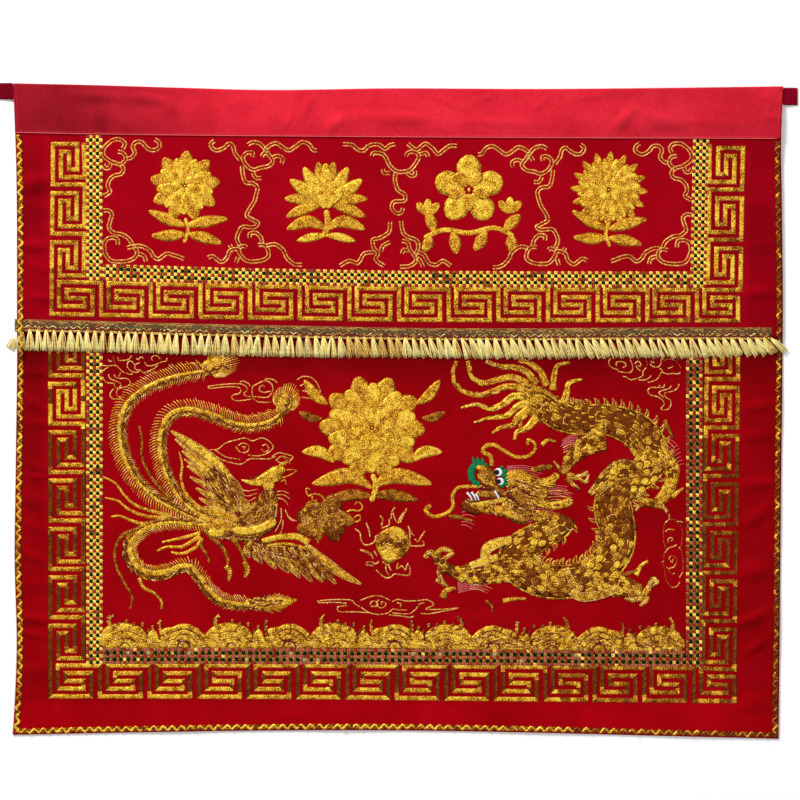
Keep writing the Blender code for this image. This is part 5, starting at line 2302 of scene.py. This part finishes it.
FLECKS = (
    ("bronze", 5.0, 3.0, ((449, 517), (458, 517), (472, 521))),
    ("worn", 8.0, 3.0, ((443, 598), (446, 591), (456, 588))),
    ("gold", 5.0, 2.4, ((503, 601), (514, 599), (526, 599))),
    ("bronze", 4.0, 2.0, ((486, 601), (492, 606), (492, 612))),
    ("bright", 6.0, 2.4, ((636, 575), (641, 566), (648, 561))),
    ("bronze", 5.0, 3.0, ((622, 575), (630, 573), (638, 570))),
    ("gold", 5.0, 2.0, ((542, 445), (548, 440), (556, 442))),
    ("bronze", 4.5, 3.0, ((665, 420), (668, 428), (673, 438))),
    ("gold", 6.0, 2.4, ((672, 497), (678, 492), (684, 488))),
)


def run_of(rows, step=2.4):
    """A smooth run through a table's places, with its widths and its dullness."""
    path = smooth([(row.x, row.y, row.wide, row.dull) for row in rows], step)
    return [p[:2] for p in path], [p[2] for p in path], [p[3] for p in path]


def backbone(piece, path, widths, side, start, end, pace=7.5):
    """Small hooked spines along one side of the body."""
    turned = sides(path, 1.2)
    travelled = 0.0
    for i in range(1, len(path)):
        travelled += math.dist(path[i], path[i - 1])
        share = i / len(path)
        if travelled < pace or not start <= share <= end:
            continue
        travelled = 0.0
        x, y = path[i]
        sx, sy = turned[i]
        dx, dy = sy, -sx
        w = widths[i] / 2 - 0.5
        bx = x + sx * side * w
        by = y + sy * side * w
        long = random.uniform(5.0, 7.5)
        out = (sx * side, sy * side)
        line = (
            (bx + dx * 1.5, by + dy * 1.5),
            (bx + out[0] * long * 0.5 + dx * 0.6, by + out[1] * long * 0.5 + dy * 0.6),
            (bx + out[0] * long - dx * 3.2, by + out[1] * long - dy * 3.2),
        )
        taper(piece, line, 3.6, 0.9, "gold" if random.random() < 0.5 else "worn", high=0.0007, step=1.6)
        back = (
            (bx - dx * 2.2, by - dy * 2.2),
            (bx + out[0] * long * 0.4 - dx * 2.0, by + out[1] * long * 0.4 - dy * 2.0),
            (bx + out[0] * long - dx * 3.6, by + out[1] * long - dy * 3.6),
        )
        taper(piece, back, 1.0, 0.8, "cream", high=FINE, over=0.0004, step=1.6)


def dragon():
    """The dragon of the right field."""
    random.seed(81)
    piece = Piece(
        "stitched_dragon", "lower_panel", **GOLD_TONES,
        cream=CREAM, wine=DEEP_WINE, pink=HAIR_PINK, green=LEAF_GREEN, white=EYE_WHITE, black=EYE_BLACK,
    )
    path, widths, dulls = run_of(SERPENT)
    for row in PINK_HAIRS:
        for n in range(row.count):
            share = n / (row.count - 1) - 0.5
            a = math.radians(row.turn + share * row.fan)
            x = row.x - math.sin(a) * share * 4
            y = row.y + share * row.fan * 0.8
            far = row.long * random.uniform(0.8, 1.05)
            mid = (x + math.cos(a) * far * 0.5, y + math.sin(a) * far * 0.5 - 1.6)
            taper(piece, ((x, y), mid, (x + math.cos(a) * far, y + math.sin(a) * far)), 1.3, 0.8,
                  "pink" if random.random() < 0.8 else "cream", high=FINE)
    for tone, start, end, line in TAIL_FLAMES:
        taper(piece, line, start, end, tone, high=SATIN, ribs=5)
        strand = smooth(line, 3.0)
        width = [start + (end - start) * i / len(strand) for i in range(len(strand))]
        speckle(piece, strand, width, ("dark", "bronze", "bright", "wine", "cream"), 6.0, 0.0008, 5.0, 0.25)
    leaf(piece, ((522, 384), (534, 398), (550, 412), (566, 420)), 34, "worn", 0.5, high=0.0010)
    for n in range(60):
        t = random.random()
        x = 524 + 36 * t + random.uniform(-12, 12) * (0.4 + math.sin(math.pi * t) * 0.6)
        y = 388 + 26 * t + random.uniform(-10, 10) * (0.4 + math.sin(math.pi * t) * 0.6)
        taper(piece, ((x, y), (x + 3, y + 2), (x + 6.5, y + 3.4)), 2.2, 1.0,
              random.choice(("bright", "gold", "bronze", "dark", "bronze")), high=FINE, over=0.0010)
    for tone, line, wide in LIMBS[:2] + LIMBS[4:5] + LIMBS[7:8]:
        fine = smooth([(x, y, w, 0.4) for (x, y), w in zip(line, wide)], 2.4)
        limb = [p[:2] for p in fine]
        span = [p[2] for p in fine]
        band(piece, limb, span, tone, high=0.0010, ribs=5)
        scales(piece, limb, span, [0.5] * len(limb), 7.0)
    for tone, start, end, line in CLAWS:
        taper(piece, line, start, end, tone, high=SATIN, ribs=5)
        taper(piece, line[1:], start * 0.4, 0.8, "cream", high=0.0004, over=0.0009)
        strewn(piece, line, 2.4, start * 0.9, ("dark", "bronze", "cream"), 5.0, 0.0008, 3.6, 0.4)
    band(piece, path, widths, "dark", high=0.0013, ribs=5)
    edge_tone = ["bright" if random.random() < 0.5 else "worn" for _ in path]
    turned = sides(path, 1.2)
    scales(piece, path, widths, dulls)
    for side in (-1, 1):
        edge = [(x + sx * side * (w / 2 - 1.3), y + sy * side * (w / 2 - 1.3))
                for (x, y), (sx, sy), w in zip(path, turned, widths)]
        band(piece, edge[2:-2], 2.2, edge_tone[2:-2], high=0.0007, over=0.0003)
    backbone(piece, path, widths, -1, 0.06, 0.42, 6.5)
    backbone(piece, path, widths, 1, 0.44, 0.98, 8.0)
    for tone, line, wide in LIMBS[2:4] + LIMBS[5:7] + LIMBS[8:]:
        fine = smooth([(x, y, w) for (x, y), w in zip(line, wide)], 2.4)
        run = [p[:2] for p in fine]
        broad = [p[2] for p in fine]
        band(piece, run, broad, tone, high=SATIN, over=0.0010, ribs=5)
        if max(wide) > 14:
            scales(piece, run, broad, [0.55] * len(fine), 7.4, 0.0013)
        speckle(piece, run, broad, ("dark", "bronze", "bright", "wine", "dark"), 5.0, 0.0017, 4.5, 0.4)
        for off in (-0.42, 0.42):
            shifted = [(x + sx * off * w, y + sy * off * w)
                       for (x, y), (sx, sy), w in zip(run, sides(run, 1.2), broad)]
            band(piece, shifted, 1.2, "cream", high=FINE, over=0.0016)
    for tone, wide, line in HEAD:
        stroke(piece, tone, wide, line, 0.0010, 0.0006)
    for _ in range(70):
        t = random.random()
        x = 508 + 40 * t
        y = 482 + 12 * t + random.uniform(-11, 11)
        taper(piece, ((x, y), (x + 4, y + 1), (x + 8, y + 0.6)), 1.8, 0.8,
              random.choice(("bright", "gold", "bronze", "dark", "wine")), high=FINE, over=0.0014)
    for wide, run in HEAD_RUNS:
        strewn(piece, run, 2.4, wide, ("dark", "bright", "cream", "dark", "wine", "gold"),
               5.0, 0.0018, 3.4, 1.0)
    for line in HEAD_LINES:
        taper(piece, line, 1.9, 1.1, "wine", high=FINE, over=0.0016)
    for line in HEAD_CURLS:
        taper(piece, line, 1.8, 1.0, "cream", high=LINE, over=0.0017)
    leaf(piece, ((485, 465), (477, 464), (471.5, 471), (473, 480), (479, 485)), 7.5, "green", 0.5,
         high=0.0008, over=0.0006)
    for foot, tip in GREEN_SPIKES:
        middle = ((foot[0] + tip[0]) / 2, (foot[1] + tip[1]) / 2)
        leaf(piece, (foot, middle, tip), 5.0, "green", 0.25, tip=0.15, high=0.0008, over=0.0009, step=1.5)
    stroke(piece, "bronze", 10, ((479, 470), (485, 473.5), (490, 479)), 0.0008, 0.0014)
    stroke(piece, "gold", 5, ((477.5, 469.5), (482, 467.5), (487, 470)), 0.0008, 0.0018)
    strewn(piece, ((480, 472), (487, 477), (496, 484)), 1.6, 11.0, ("bright", "dark", "cream", "wine"),
           6.0, 0.0022, 2.6, 1.4)
    for x, y, wide in ((498.2, 472.2, 4.2), (500.2, 481.4, 3.8)):
        disc(piece, "white", x, y, wide, 0.0018)
        disc(piece, "black", x - 1.5, y + 0.1, wide * 0.68, 0.0024, high=FINE)
    for foot, tip in (
        ((467, 492.5), (472.5, 500.5)),
        ((471.5, 492), (476, 500.5)),
        ((475.5, 494), (479, 500.5)),
        ((494.5, 491), (499, 499.5)),
    ):
        taper(piece, (foot, ((foot[0] + tip[0]) / 2 + 0.6, (foot[1] + tip[1]) / 2), tip), 3.0, 1.2, "white",
              high=0.0008, over=0.0018, step=1.5)
    for tone, start, end, line in WHISKERS + FLECKS:
        taper(piece, line, start, end, tone, high=SATIN, over=0.0003, ribs=5)
    piece.finish()


# Lines of the clouds, of their faint parts and of the sun's rays
CLOUDS = (
    ((208, 386.5), (222, 384.5), (233, 383.8), (241, 384), (246.5, 387), (247, 390), (244, 393.5), (246, 396),
     (253, 396.8)),
    ((208, 387), (210, 388.5), (225, 387), (237, 387), (241, 390), (239, 393.5), (233, 395), (231.8, 398),
     (236, 400.8), (244, 400.2), (251.5, 399)),
    ((240, 382), (244, 381.2), (249, 384.2), (250, 386.5)),
    ((252.5, 386.5), (258, 383.5), (264, 381), (270, 382.5), (273, 388), (271, 394), (267, 397.5), (258, 397),
     (253, 396.5)),
    ((252.5, 386.5), (252, 392), (253.5, 398), (257, 401.5), (265, 402.5), (271, 402)),
    ((270.5, 391), (264, 392.5), (259.5, 390.5), (259.8, 387), (263.2, 385), (264, 387.4)),
    ((264, 380), (268, 378.8), (274, 380), (277.5, 383.5)),
    ((297, 380), (303, 376.5), (312, 378), (318, 385), (320, 393), (313, 398.5), (302, 397)),
    ((300, 386), (305, 384), (308, 388), (303, 391)),
    ((302, 391), (310, 392), (316, 391)),
    ((210, 450), (218, 449), (226, 443), (238, 439.5), (246, 438), (252, 441), (262, 438), (270, 442),
     (273, 448), (266, 454), (256, 456), (248, 455)),
    ((238, 446), (243, 443), (249, 446), (247, 452), (240, 452), (236, 447)),
    ((242, 447), (245, 447), (244, 449.5)),
    ((262, 446), (266, 444.5), (269, 449), (265, 452), (261, 449)),
    ((212, 453), (220, 459), (232, 463), (242, 464), (250, 459), (268, 459), (276, 456)),
    ((215, 450), (226, 457), (240, 459.5)),
    ((272, 457), (278, 453), (285, 454), (293, 457), (288, 462), (280, 463), (276, 459)),
    ((280, 457), (284, 456.5), (285, 459)),
    ((317, 601.5), (328, 600), (350, 600), (355, 604), (360, 607)),
    ((318, 603), (334, 602.5), (347, 603.5)),
    ((347, 605.6), (338, 607), (338, 611), (341, 612), (355, 612), (369, 612.8)),
    ((360.5, 600.5), (368, 597.5), (376, 595.8), (383, 597), (390, 600.5)),
    ((370, 605), (372, 601.5), (377, 602), (377, 606), (371, 606.5)),
    ((379, 599.5), (376.5, 603.5), (380, 608), (385, 606.5), (385.5, 602.5), (381, 602), (382, 604.5)),
    ((361, 607.5), (370, 613), (380, 614.5), (389, 612.5), (393, 609), (399, 610), (407, 610)),
    ((392, 602), (398, 599.5), (405, 601), (415, 601), (428, 600), (433.5, 605), (426, 609), (440, 609.5),
     (459, 608)),
    ((421, 613.5), (428, 614), (440, 612), (457, 608.5)),
    ((389, 615), (400, 616), (410, 617.5), (414, 616)),
    ((392, 613), (408, 614), (415, 610), (420, 604), (425, 603)),
    ((397, 603), (401, 604), (400, 607)),
    ((102.5, 365.5), (108, 366), (115, 365.5), (119.5, 368.5), (122, 371.5), (126, 373), (130, 374.5),
     (133, 373.5)),
    ((108, 359.5), (110, 361.5), (112, 361)),
    ((117.5, 357), (118.5, 360.5), (121, 360.5), (127, 360), (130, 358), (131, 355.5)),
    ((127, 366), (128, 362), (131, 361), (133.5, 363.5), (135, 365.5), (134.5, 368), (137, 370), (140, 370),
     (143, 372.5), (146, 372.5), (150, 370.5), (155, 368), (158, 365)),
    ((127, 366), (128.5, 369), (132, 371.5), (136, 372.5), (139, 371.5), (141, 370)),
    ((135, 364.5), (138, 363.5), (140, 362)),
    ((136, 358.5), (138, 360), (139.5, 358), (142, 357), (143, 359)),
    ((144.5, 362), (146, 365), (150, 366), (155, 365), (159, 363), (162, 362), (166, 361), (167, 358)),
    ((153, 360.5), (151.5, 359), (152, 357), (155, 355.5), (158, 356.5), (160, 359)),
    ((108.5, 374), (109.5, 378), (113, 380), (118, 382), (121, 384.5), (119, 387.5), (116, 388), (114.5, 386),
     (114, 383.5), (109, 383), (106, 382.5), (104, 380), (102.5, 377)),
    ((114, 374.5), (115.5, 377.5), (119.5, 378.5), (126, 378.5), (130, 381), (130, 384), (127, 386.5),
     (122, 387.5), (118.5, 389), (116.5, 392), (117, 395.5), (120, 398), (124, 401)),
    ((120.5, 372.5), (119.5, 375), (118, 376.5)),
    ((114, 388.5), (111.5, 391), (110, 394), (110.5, 397), (113.5, 399), (118, 399)),
    ((103, 371), (106, 368.5), (109, 367)),
    ((611, 358), (609, 361), (610, 366), (615, 369), (618, 369.5), (618.5, 371.5), (625, 372.5), (630, 372.5),
     (632.5, 370), (632.5, 366), (631.5, 362), (630, 359)),
    ((616.5, 366), (616.5, 362.5), (619.5, 361.5), (623, 362), (626, 364), (625.5, 366.5), (623, 367.5)),
    ((635, 364), (636.5, 362), (639, 361.5), (641, 364), (640.5, 366.5), (638.5, 365.5)),
    ((636, 366), (638, 369), (641, 371)),
    ((646.5, 367.5), (644.5, 369.5), (643, 372), (643, 375), (641, 377), (637, 378.5), (634.5, 379.5)),
    ((623, 376.5), (626, 377), (629, 379), (632, 380), (635, 378.5)),
    ((651.5, 375), (649, 378), (645, 380), (639, 380)),
    ((650, 364), (653, 366.5), (657, 367), (659, 366.5), (661, 364), (661.5, 358)),
    ((651, 361), (653, 363), (654.5, 361.5)),
    ((660, 368.5), (662.5, 371), (660.5, 374), (659, 377), (656, 380), (652, 381.5), (648, 382.5)),
    ((663, 372.5), (667, 374), (673, 373.5), (678, 374), (680.5, 372.5)),
    ((668, 368.5), (671.5, 367.5), (673, 366)),
    ((664.5, 384), (664, 387), (661, 387.5), (656, 387.5), (651, 387.5), (648, 390), (648.5, 393),
     (652, 395.5), (657, 396.5), (660.5, 398.5), (663.5, 401), (664, 405), (661, 408.5), (662, 409.5),
     (666, 410),
     (669, 408.5), (671, 405), (670.5, 400.5), (667, 398), (664.5, 395), (666, 392.5), (672, 391.5),
     (676, 389.5), (678.5, 387), (679, 384)),
    ((660, 384.5), (659, 387)),
    ((671.5, 385), (670, 388), (666, 389.5), (661, 391), (659, 393), (661.5, 395.5), (664, 398)),
    ((669, 514), (669.5, 518), (668, 520.5), (665, 523)),
    ((677, 522), (680, 521.5), (683, 522.5)),
    ((665.5, 532), (668, 529.5), (671.5, 529.5), (675, 530)),
    ((668.5, 543), (668, 540), (669.5, 538), (672, 538), (673, 540), (671, 541)),
    ((665, 553), (667.5, 549.5), (670, 547.5), (674, 546.5), (677, 544.5)),
    ((679, 547), (680.5, 549.5)),
    ((669.5, 560), (669.5, 557.5), (671.5, 556)),
    ((673, 559), (672.5, 562.5), (670.5, 561)),
    ((676, 563.5), (674, 567), (671, 568), (668.5, 569), (666.5, 567)),
    ((662, 563), (664, 560.5)),
    ((673, 574.5), (675, 573)),
    ((683, 572), (681, 575), (679.5, 578)),
    ((672, 587.5), (676, 587), (678.5, 584.5), (680, 582)),
)
FAINT_CLOUDS = (
    ((669, 519.5), (675, 520), (680, 524), (682.5, 532), (682, 541), (680, 549)),
    ((665, 523), (663.5, 532), (664, 543), (667, 549.5)),
    ((664.5, 553), (663.5, 562), (665, 572), (666.5, 581), (672, 587.5)),
    ((671.5, 556), (675, 557), (677, 561), (676, 563.5)),
    ((681, 549), (683, 560), (683, 572)),
    ((668.5, 569), (670, 572.5), (673, 574.5)),
    ((664, 361), (668, 359), (674, 360), (679, 364), (681, 369)),
    ((645, 356), (647, 362), (647, 367)),
    ((113, 356), (114, 361), (116, 365)),
)
SUN_RAYS = (
    ((395, 507), (392, 512), (391, 519)),
    ((393, 513), (395, 519), (398, 523), (400, 518), (405, 511), (407, 508)),
    ((400, 523), (403, 516), (407, 509)),
    ((380, 516), (383, 520), (381, 526)),
    ((389, 519), (389, 525), (385, 527), (381, 528.5)),
    ((408, 526), (411, 532), (414, 536)),
    ((409, 528), (410, 536), (410, 543), (412, 546), (420, 546), (424, 545), (423, 541)),
    ((415, 539), (418, 542), (421, 537), (425, 531)),
    ((355, 529), (360, 533), (361, 540), (365, 545), (371, 544), (375, 541), (376, 536), (380, 535)),
    ((366, 523), (369, 530), (370, 537)),
    ((360, 550), (366, 551), (371, 554), (373, 559)),
    ((361, 551), (367, 552.5), (371, 556)),
    ((374, 551), (377, 556)),
    ((366, 563), (371, 562), (376, 564), (379, 561)),
    ((366, 565), (374, 566)),
    ((382, 562), (386, 564), (386, 570), (389, 575)),
    ((376, 570), (380, 574), (386, 578), (391, 577), (395, 574), (402, 575), (409, 575), (410, 568),
     (407, 564)),
    ((398, 563), (397, 569), (402, 566), (405, 570), (408, 563)),
    ((388, 564), (391, 571)),
)

# The tied bundle: a tone, a width and the places of each run
BUNDLE = (
    ("bronze", 15, ((325, 517), (312, 512), (304, 516), (300, 522))),
    ("worn", 13, ((325, 517), (310, 524), (298, 532))),
    ("gold", 12, ((322, 510), (313, 506), (306, 512))),
    ("worn", 13, ((324, 512), (328, 504), (338, 497))),
    ("bronze", 12, ((328, 514), (336, 508), (337, 500))),
    ("worn", 13, ((326, 520), (340, 518), (354, 523))),
    ("gold", 9, ((332, 514), (344, 516), (352, 521))),
    ("bronze", 13, ((324, 522), (332, 532), (339, 541))),
    ("worn", 12, ((322, 522), (318, 532), (317, 541))),
    ("gold", 10, ((320, 522), (310, 530), (308, 537))),
    ("worn", 12, ((314, 516), (326, 517), (338, 524))),
    ("bronze", 9, ((330, 525), (338, 531), (345, 529))),
)
BUNDLE_CURLS = (
    ((325, 500), (320, 495), (313, 494), (309, 496), (306, 491), (307, 488), (310, 489.5)),
    ((312, 496), (313, 501), (317, 500)),
    ((347, 512), (352, 510), (358, 511), (362, 509), (361.5, 504), (357, 502), (355, 505)),
    ((350, 519), (355, 522), (360, 520), (360, 515.5), (356, 516), (354.5, 518)),
    ((319, 537), (318, 540), (318, 543)),
)

# The sun: its middle and its radius, then the patches of its face
SUN = (393.2, 544.3, 17.6)
SUN_TONES = (
    ("dark", 8, ((378.5, 546), (383, 540), (390, 541), (397, 545), (406, 542))),
    ("bronze", 9, ((379, 541), (384, 537), (390, 540))),
    ("bronze", 8, ((398, 556), (404, 550), (408, 545))),
    ("bright", 11, ((389, 530.5), (398, 533), (404, 537))),
    ("bright", 13, ((382, 552), (389, 556), (397, 556))),
)


def small_works():
    """The clouds, the sun with its rays, and the tied bundle between the bird and the dragon."""
    random.seed(91)
    piece = Piece("clouds_and_sun", "lower_panel", **GOLD_TONES, cream=CREAM)
    for line in CLOUDS:
        path = smooth(line, 1.8)
        kinds = ["cream" if random.random() < 0.7 else "gold" for _ in path]
        band(piece, path, 1.45, kinds, high=LINE)
    for line in FAINT_CLOUDS:
        band(piece, smooth(line, 1.8), 1.0, "bronze", high=0.0004)
    for line in SUN_RAYS:
        path = smooth(line, 1.6)
        kinds = ["cream" if random.random() < 0.6 else "gold" for _ in path]
        band(piece, path, 1.8, kinds, high=LINE)
    disc(piece, "gold", *SUN, 0.0, 0.0010, count=36)
    for tone, wide, line in SUN_TONES:
        stroke(piece, tone, wide, line, 0.0004, 0.0009)
    strewn(piece, ((380, 548), (393, 543), (407, 541)), 2.0, 26.0, ("bronze", "bright", "cream", "gold"),
           6.0, 0.0012, 3.4, 1.5)
    for tone, wide, line in BUNDLE:
        stroke(piece, "dark" if tone == "bronze" else "bronze", wide, line, 0.0009, 0.0001)
    for _ in range(330):
        a = random.uniform(0, 2 * math.pi)
        far = math.sqrt(random.random())
        x = 323 + math.cos(a) * far * 22
        y = 518 + math.sin(a) * far * 15
        turn = random.uniform(0, math.pi)
        dx = math.cos(turn) * 2.2
        dy = math.sin(turn) * 2.2
        taper(piece, ((x - dx, y - dy), (x, y + 0.4), (x + dx, y + dy)), 1.6, 0.8,
              random.choice(("bright", "cream", "gold", "dark", "bronze")), high=FINE, over=0.0007)
    for line in BUNDLE_CURLS:
        taper(piece, line, 2.2, 1.4, "gold", high=0.0008, ribs=5, step=1.6)
    piece.finish()


# The row of waves: its ends, the length of one beat, the place it turns about, and its foot
WAVE_SPAN = (101.0, 686.0)
WAVE_BEAT = 105.7
WAVE_MIDDLE = 391.3
WAVE_FOOT = 648.4

# One beat of the waves: fills of its crag and its dome, with their widths, and the dark lines over them
CRAG_FILLS = (
    (9.0, ((100.5, 645), (103, 637), (110, 630), (120, 627.5), (130, 628), (139, 632), (144, 639))),
    (9.0, ((103, 646), (108, 638), (119, 634), (131, 635), (139, 640), (142, 646))),
    (9.0, ((109, 647), (116, 641.5), (126, 641), (134, 646))),
    (7.0, ((150, 646), (149.5, 639), (153, 633), (156, 640), (157, 646))),
    (6.0, ((140, 645.5), (150, 645.5), (160, 645.5))),
)
DOME_FILLS = (
    (5.5, ((161.5, 634), (166, 630.5), (173, 629.5), (180, 626.8), (188, 626.8), (196, 630.5), (203, 637),
           (208, 645))),
    (6.5, ((161, 640), (168, 636.5), (176, 633.5), (184, 631.5), (192, 634.5), (198, 641), (201, 646))),
    (6.5, ((162, 645.5), (170, 642), (178, 637.5), (186, 637), (192, 641), (196, 646))),
    (6.0, ((168, 646), (182, 644), (194, 646))),
)
CRAG_LINES = (
    ((112, 634), (120, 631.5), (131, 632), (140, 637)),
    ((114, 641), (124, 638), (135, 641)),
    ((146, 632), (147, 638), (145.5, 643)),
)
DOME_LINES = (
    ((162.5, 636.5), (169, 634.2), (176, 631), (184, 629), (192, 631.5), (199, 637)),
    ((165, 642), (173, 639), (180, 634.8), (187, 634), (193, 638.5), (198, 645)),
    ((172, 644), (178, 640.5), (185, 639.5), (191, 643)),
)
RED_ARCH = ((177, 647), (179, 642.6), (183.5, 641), (188, 642.8), (190.5, 647))
SMALL_ARCH = ((120, 647), (122.5, 643.6), (126.5, 643), (130, 646.5))

# Its small round crests, with their widths, and its two horns, with the widths of their two ends
CRESTS = (
    (118.5, 624.2, 5.4), (126.5, 621.4, 6.4), (134, 624, 5.6), (142.5, 624.2, 6.2), (152.5, 627.2, 6.2),
    (114, 628, 5.6), (138, 628.6, 6.0), (148, 630.5, 4.6),
)
HORNS = (
    (5.4, 1.6, ((112.5, 629), (109.5, 623.5), (109.8, 618.5), (113.4, 614.8))),
    (4.4, 1.3, ((162, 635), (160, 628.5), (159.4, 623), (160.6, 619.5))),
)


def waves():
    """The row of gold waves: craggy crests and scaled domes by turns, the right half turned about."""
    random.seed(101)
    piece = Piece("wave_row", "lower_panel", **GOLD_TONES, cream=CREAM, wine=DEEP_WINE)

    def foot(x):
        """The row's lower edge."""
        return WAVE_FOOT + 3.4 * ease((x - 300) / 380)

    def tone_at(x):
        """Bright at the left and duller towards the right."""
        dull = 0.3 if x > 500 else 0.12 if x > 250 else 0.0
        chance = random.random() + dull
        return pick(chance, (0.55, "bright"), (0.86, "gold"), (1.1, "worn"), other="bronze")

    def laid(line, beat, turned_about):
        """A line of the first beat moved to another, and kept inside the row."""
        out = []
        for x, y in line:
            x += beat * WAVE_BEAT
            if turned_about:
                x = 2 * WAVE_MIDDLE - x
            x = min(max(x, WAVE_SPAN[0] + 1.5), WAVE_SPAN[1] - 1.5)
            out.append((x, y + foot(x) - WAVE_FOOT))
        return out

    low = [(x, foot(x) - 3.0) for x in range(103, 685, 3)]
    band(piece, low, 6.0, [tone_at(x) for x, y in low], high=0.0007, ribs=5)
    for turned_about in (False, True):
        for beat in range(3):
            fills = list(CRAG_FILLS)
            lines = list(CRAG_LINES)
            if beat < 2 or not turned_about:
                fills += DOME_FILLS
                lines += DOME_LINES
            for wide, line in fills:
                path = smooth(laid(line, beat, turned_about), 2.2)
                band(piece, path, wide, [tone_at(x) for x, y in path], high=SATIN, over=0.0001, ribs=5)
            for line in lines:
                path = smooth(laid(line, beat, turned_about), 2.2)
                band(piece, path, 1.1, ["wine" if random.random() < 0.6 else "bronze" for _ in path],
                     high=FINE, over=0.0009)
            if beat < 2 or not turned_about:
                arch = smooth(laid(RED_ARCH, beat, turned_about), 1.4)
                band(piece, arch, 1.9, "wine", high=FINE, over=0.0011)
            arch = smooth(laid(SMALL_ARCH, beat, turned_about), 1.4)
            band(piece, arch, 1.2, "wine", high=FINE, over=0.0010)
            for x, y, wide in CRESTS:
                x, y = laid(((x, y),), beat, turned_about)[0]
                dome = ((x - wide * 0.25, y), (x + wide * 0.25, y + 0.6))
                stroke(piece, tone_at(x), wide, dome, 0.0009, 0.0005, step=1.4)
                brow = ((x - wide * 0.34, y + 1.6), (x, y - 0.4), (x + wide * 0.3, y + 1.2))
                stroke(piece, "dark" if random.random() < 0.6 else "wine", 1.5, brow, 0.0005, 0.0013,
                       step=1.2)
            for start, end, line in HORNS:
                path = laid(line, beat, turned_about)
                taper(piece, path, start, end, "worn" if random.random() < 0.6 else "bronze", high=SATIN,
                      over=0.0003, ribs=5, step=1.5)
                widths = [start] * 9 + [start * 0.7] * 9
                speckle(piece, smooth(path, 2.0), widths, ("dark", "bronze", "cream"), 5.0, 0.0008, 2.6, 0.6)
    for _ in range(620):
        x = random.uniform(WAVE_SPAN[0] + 4, WAVE_SPAN[1] - 4)
        beat = (min(x, 2 * WAVE_MIDDLE - x) - 100.5) % WAVE_BEAT
        deep = 17 if beat < 42 else 13 if beat < 60 else 19 - abs(beat - 84) * 0.35
        y = foot(x) - random.uniform(1, deep)
        slope = 0.5 * math.sin((beat - 20) / 9)
        tones = ("bronze", "wine", "worn", "cream") if x > 420 else ("bronze", "worn", "cream", "bright")
        taper(piece, ((x - 2.4, y + slope), (x, y - 0.4), (x + 2.4, y - slope)), 1.1, 0.8,
              random.choice(tones), high=0.0004, over=0.0011)
    piece.finish()


scrolls()
flowers()
medallion()
bird()
dragon()
small_works()
waves()


# How far the floor lies below the cloth, how high the camera's measure is taken, and the light all round
FLOOR_DROP = 0.0006
CAMERA_RISE = 0.003
ROOM_LIGHT = 0.46


def studio():
    """The floor, the light and the camera."""
    mesh = bpy.data.meshes.new("floor")
    reach = 6.0
    parts = 4
    points = []
    for j in range(parts + 1):
        for i in range(parts + 1):
            points.append((reach * (2 * i / parts - 1), reach * (2 * j / parts - 1), -FLOOR_DROP))
    faces = []
    for j in range(parts):
        for i in range(parts):
            a = j * (parts + 1) + i
            faces.append((a, a + 1, a + parts + 2, a + parts + 1))
    mesh.from_pydata(points, [], faces)
    floor = bpy.data.objects.new("floor", mesh)
    bpy.context.scene.collection.objects.link(floor)
    m = Nodes("floor_white")
    where = m.add("ShaderNodeTexCoord").outputs["Object"]
    m.set(Base_Color=m.ramp(m.noise(where, 3.0), (0.3, (0.96, 0.96, 0.96, 1)), (0.7, (0.98, 0.98, 0.98, 1))))
    m.set(Roughness=0.9, Specular_IOR_Level=0.1)
    mesh.materials.append(m.material)
    for name, at, size, power in (
        ("key", (-2.6, 3.6, 2.9), 1.6, 290.0),
        ("fill", (2.6, -1.2, 4.6), 3.0, 55.0),
    ):
        light = bpy.data.lights.new(name, "AREA")
        light.size = size
        light.energy = power
        lamp = bpy.data.objects.new(name, light)
        lamp.location = at
        bpy.context.scene.collection.objects.link(lamp)
        away = -lamp.location
        lamp.rotation_euler = away.to_track_quat("-Z", "Y").to_euler()
    world = bpy.data.worlds.new("studio")
    world.use_nodes = True
    back = world.node_tree.nodes["Background"]
    back.inputs["Color"].default_value = (1.0, 1.0, 1.0, 1.0)
    back.inputs["Strength"].default_value = ROOM_LIGHT
    bpy.context.scene.world = world
    bpy.context.scene.view_settings.view_transform = "Standard"
    view = bpy.data.cameras.new("camera")
    view.lens = 150.0
    view.sensor_width = 36.0
    camera = bpy.data.objects.new("camera", view)
    photo_wide = 800
    far = photo_wide * STEP * view.lens / view.sensor_width
    middle = photo_wide / 2
    camera.location = place(middle, middle, far + CAMERA_RISE)
    bpy.context.scene.collection.objects.link(camera)
    bpy.context.scene.camera = camera


studio()
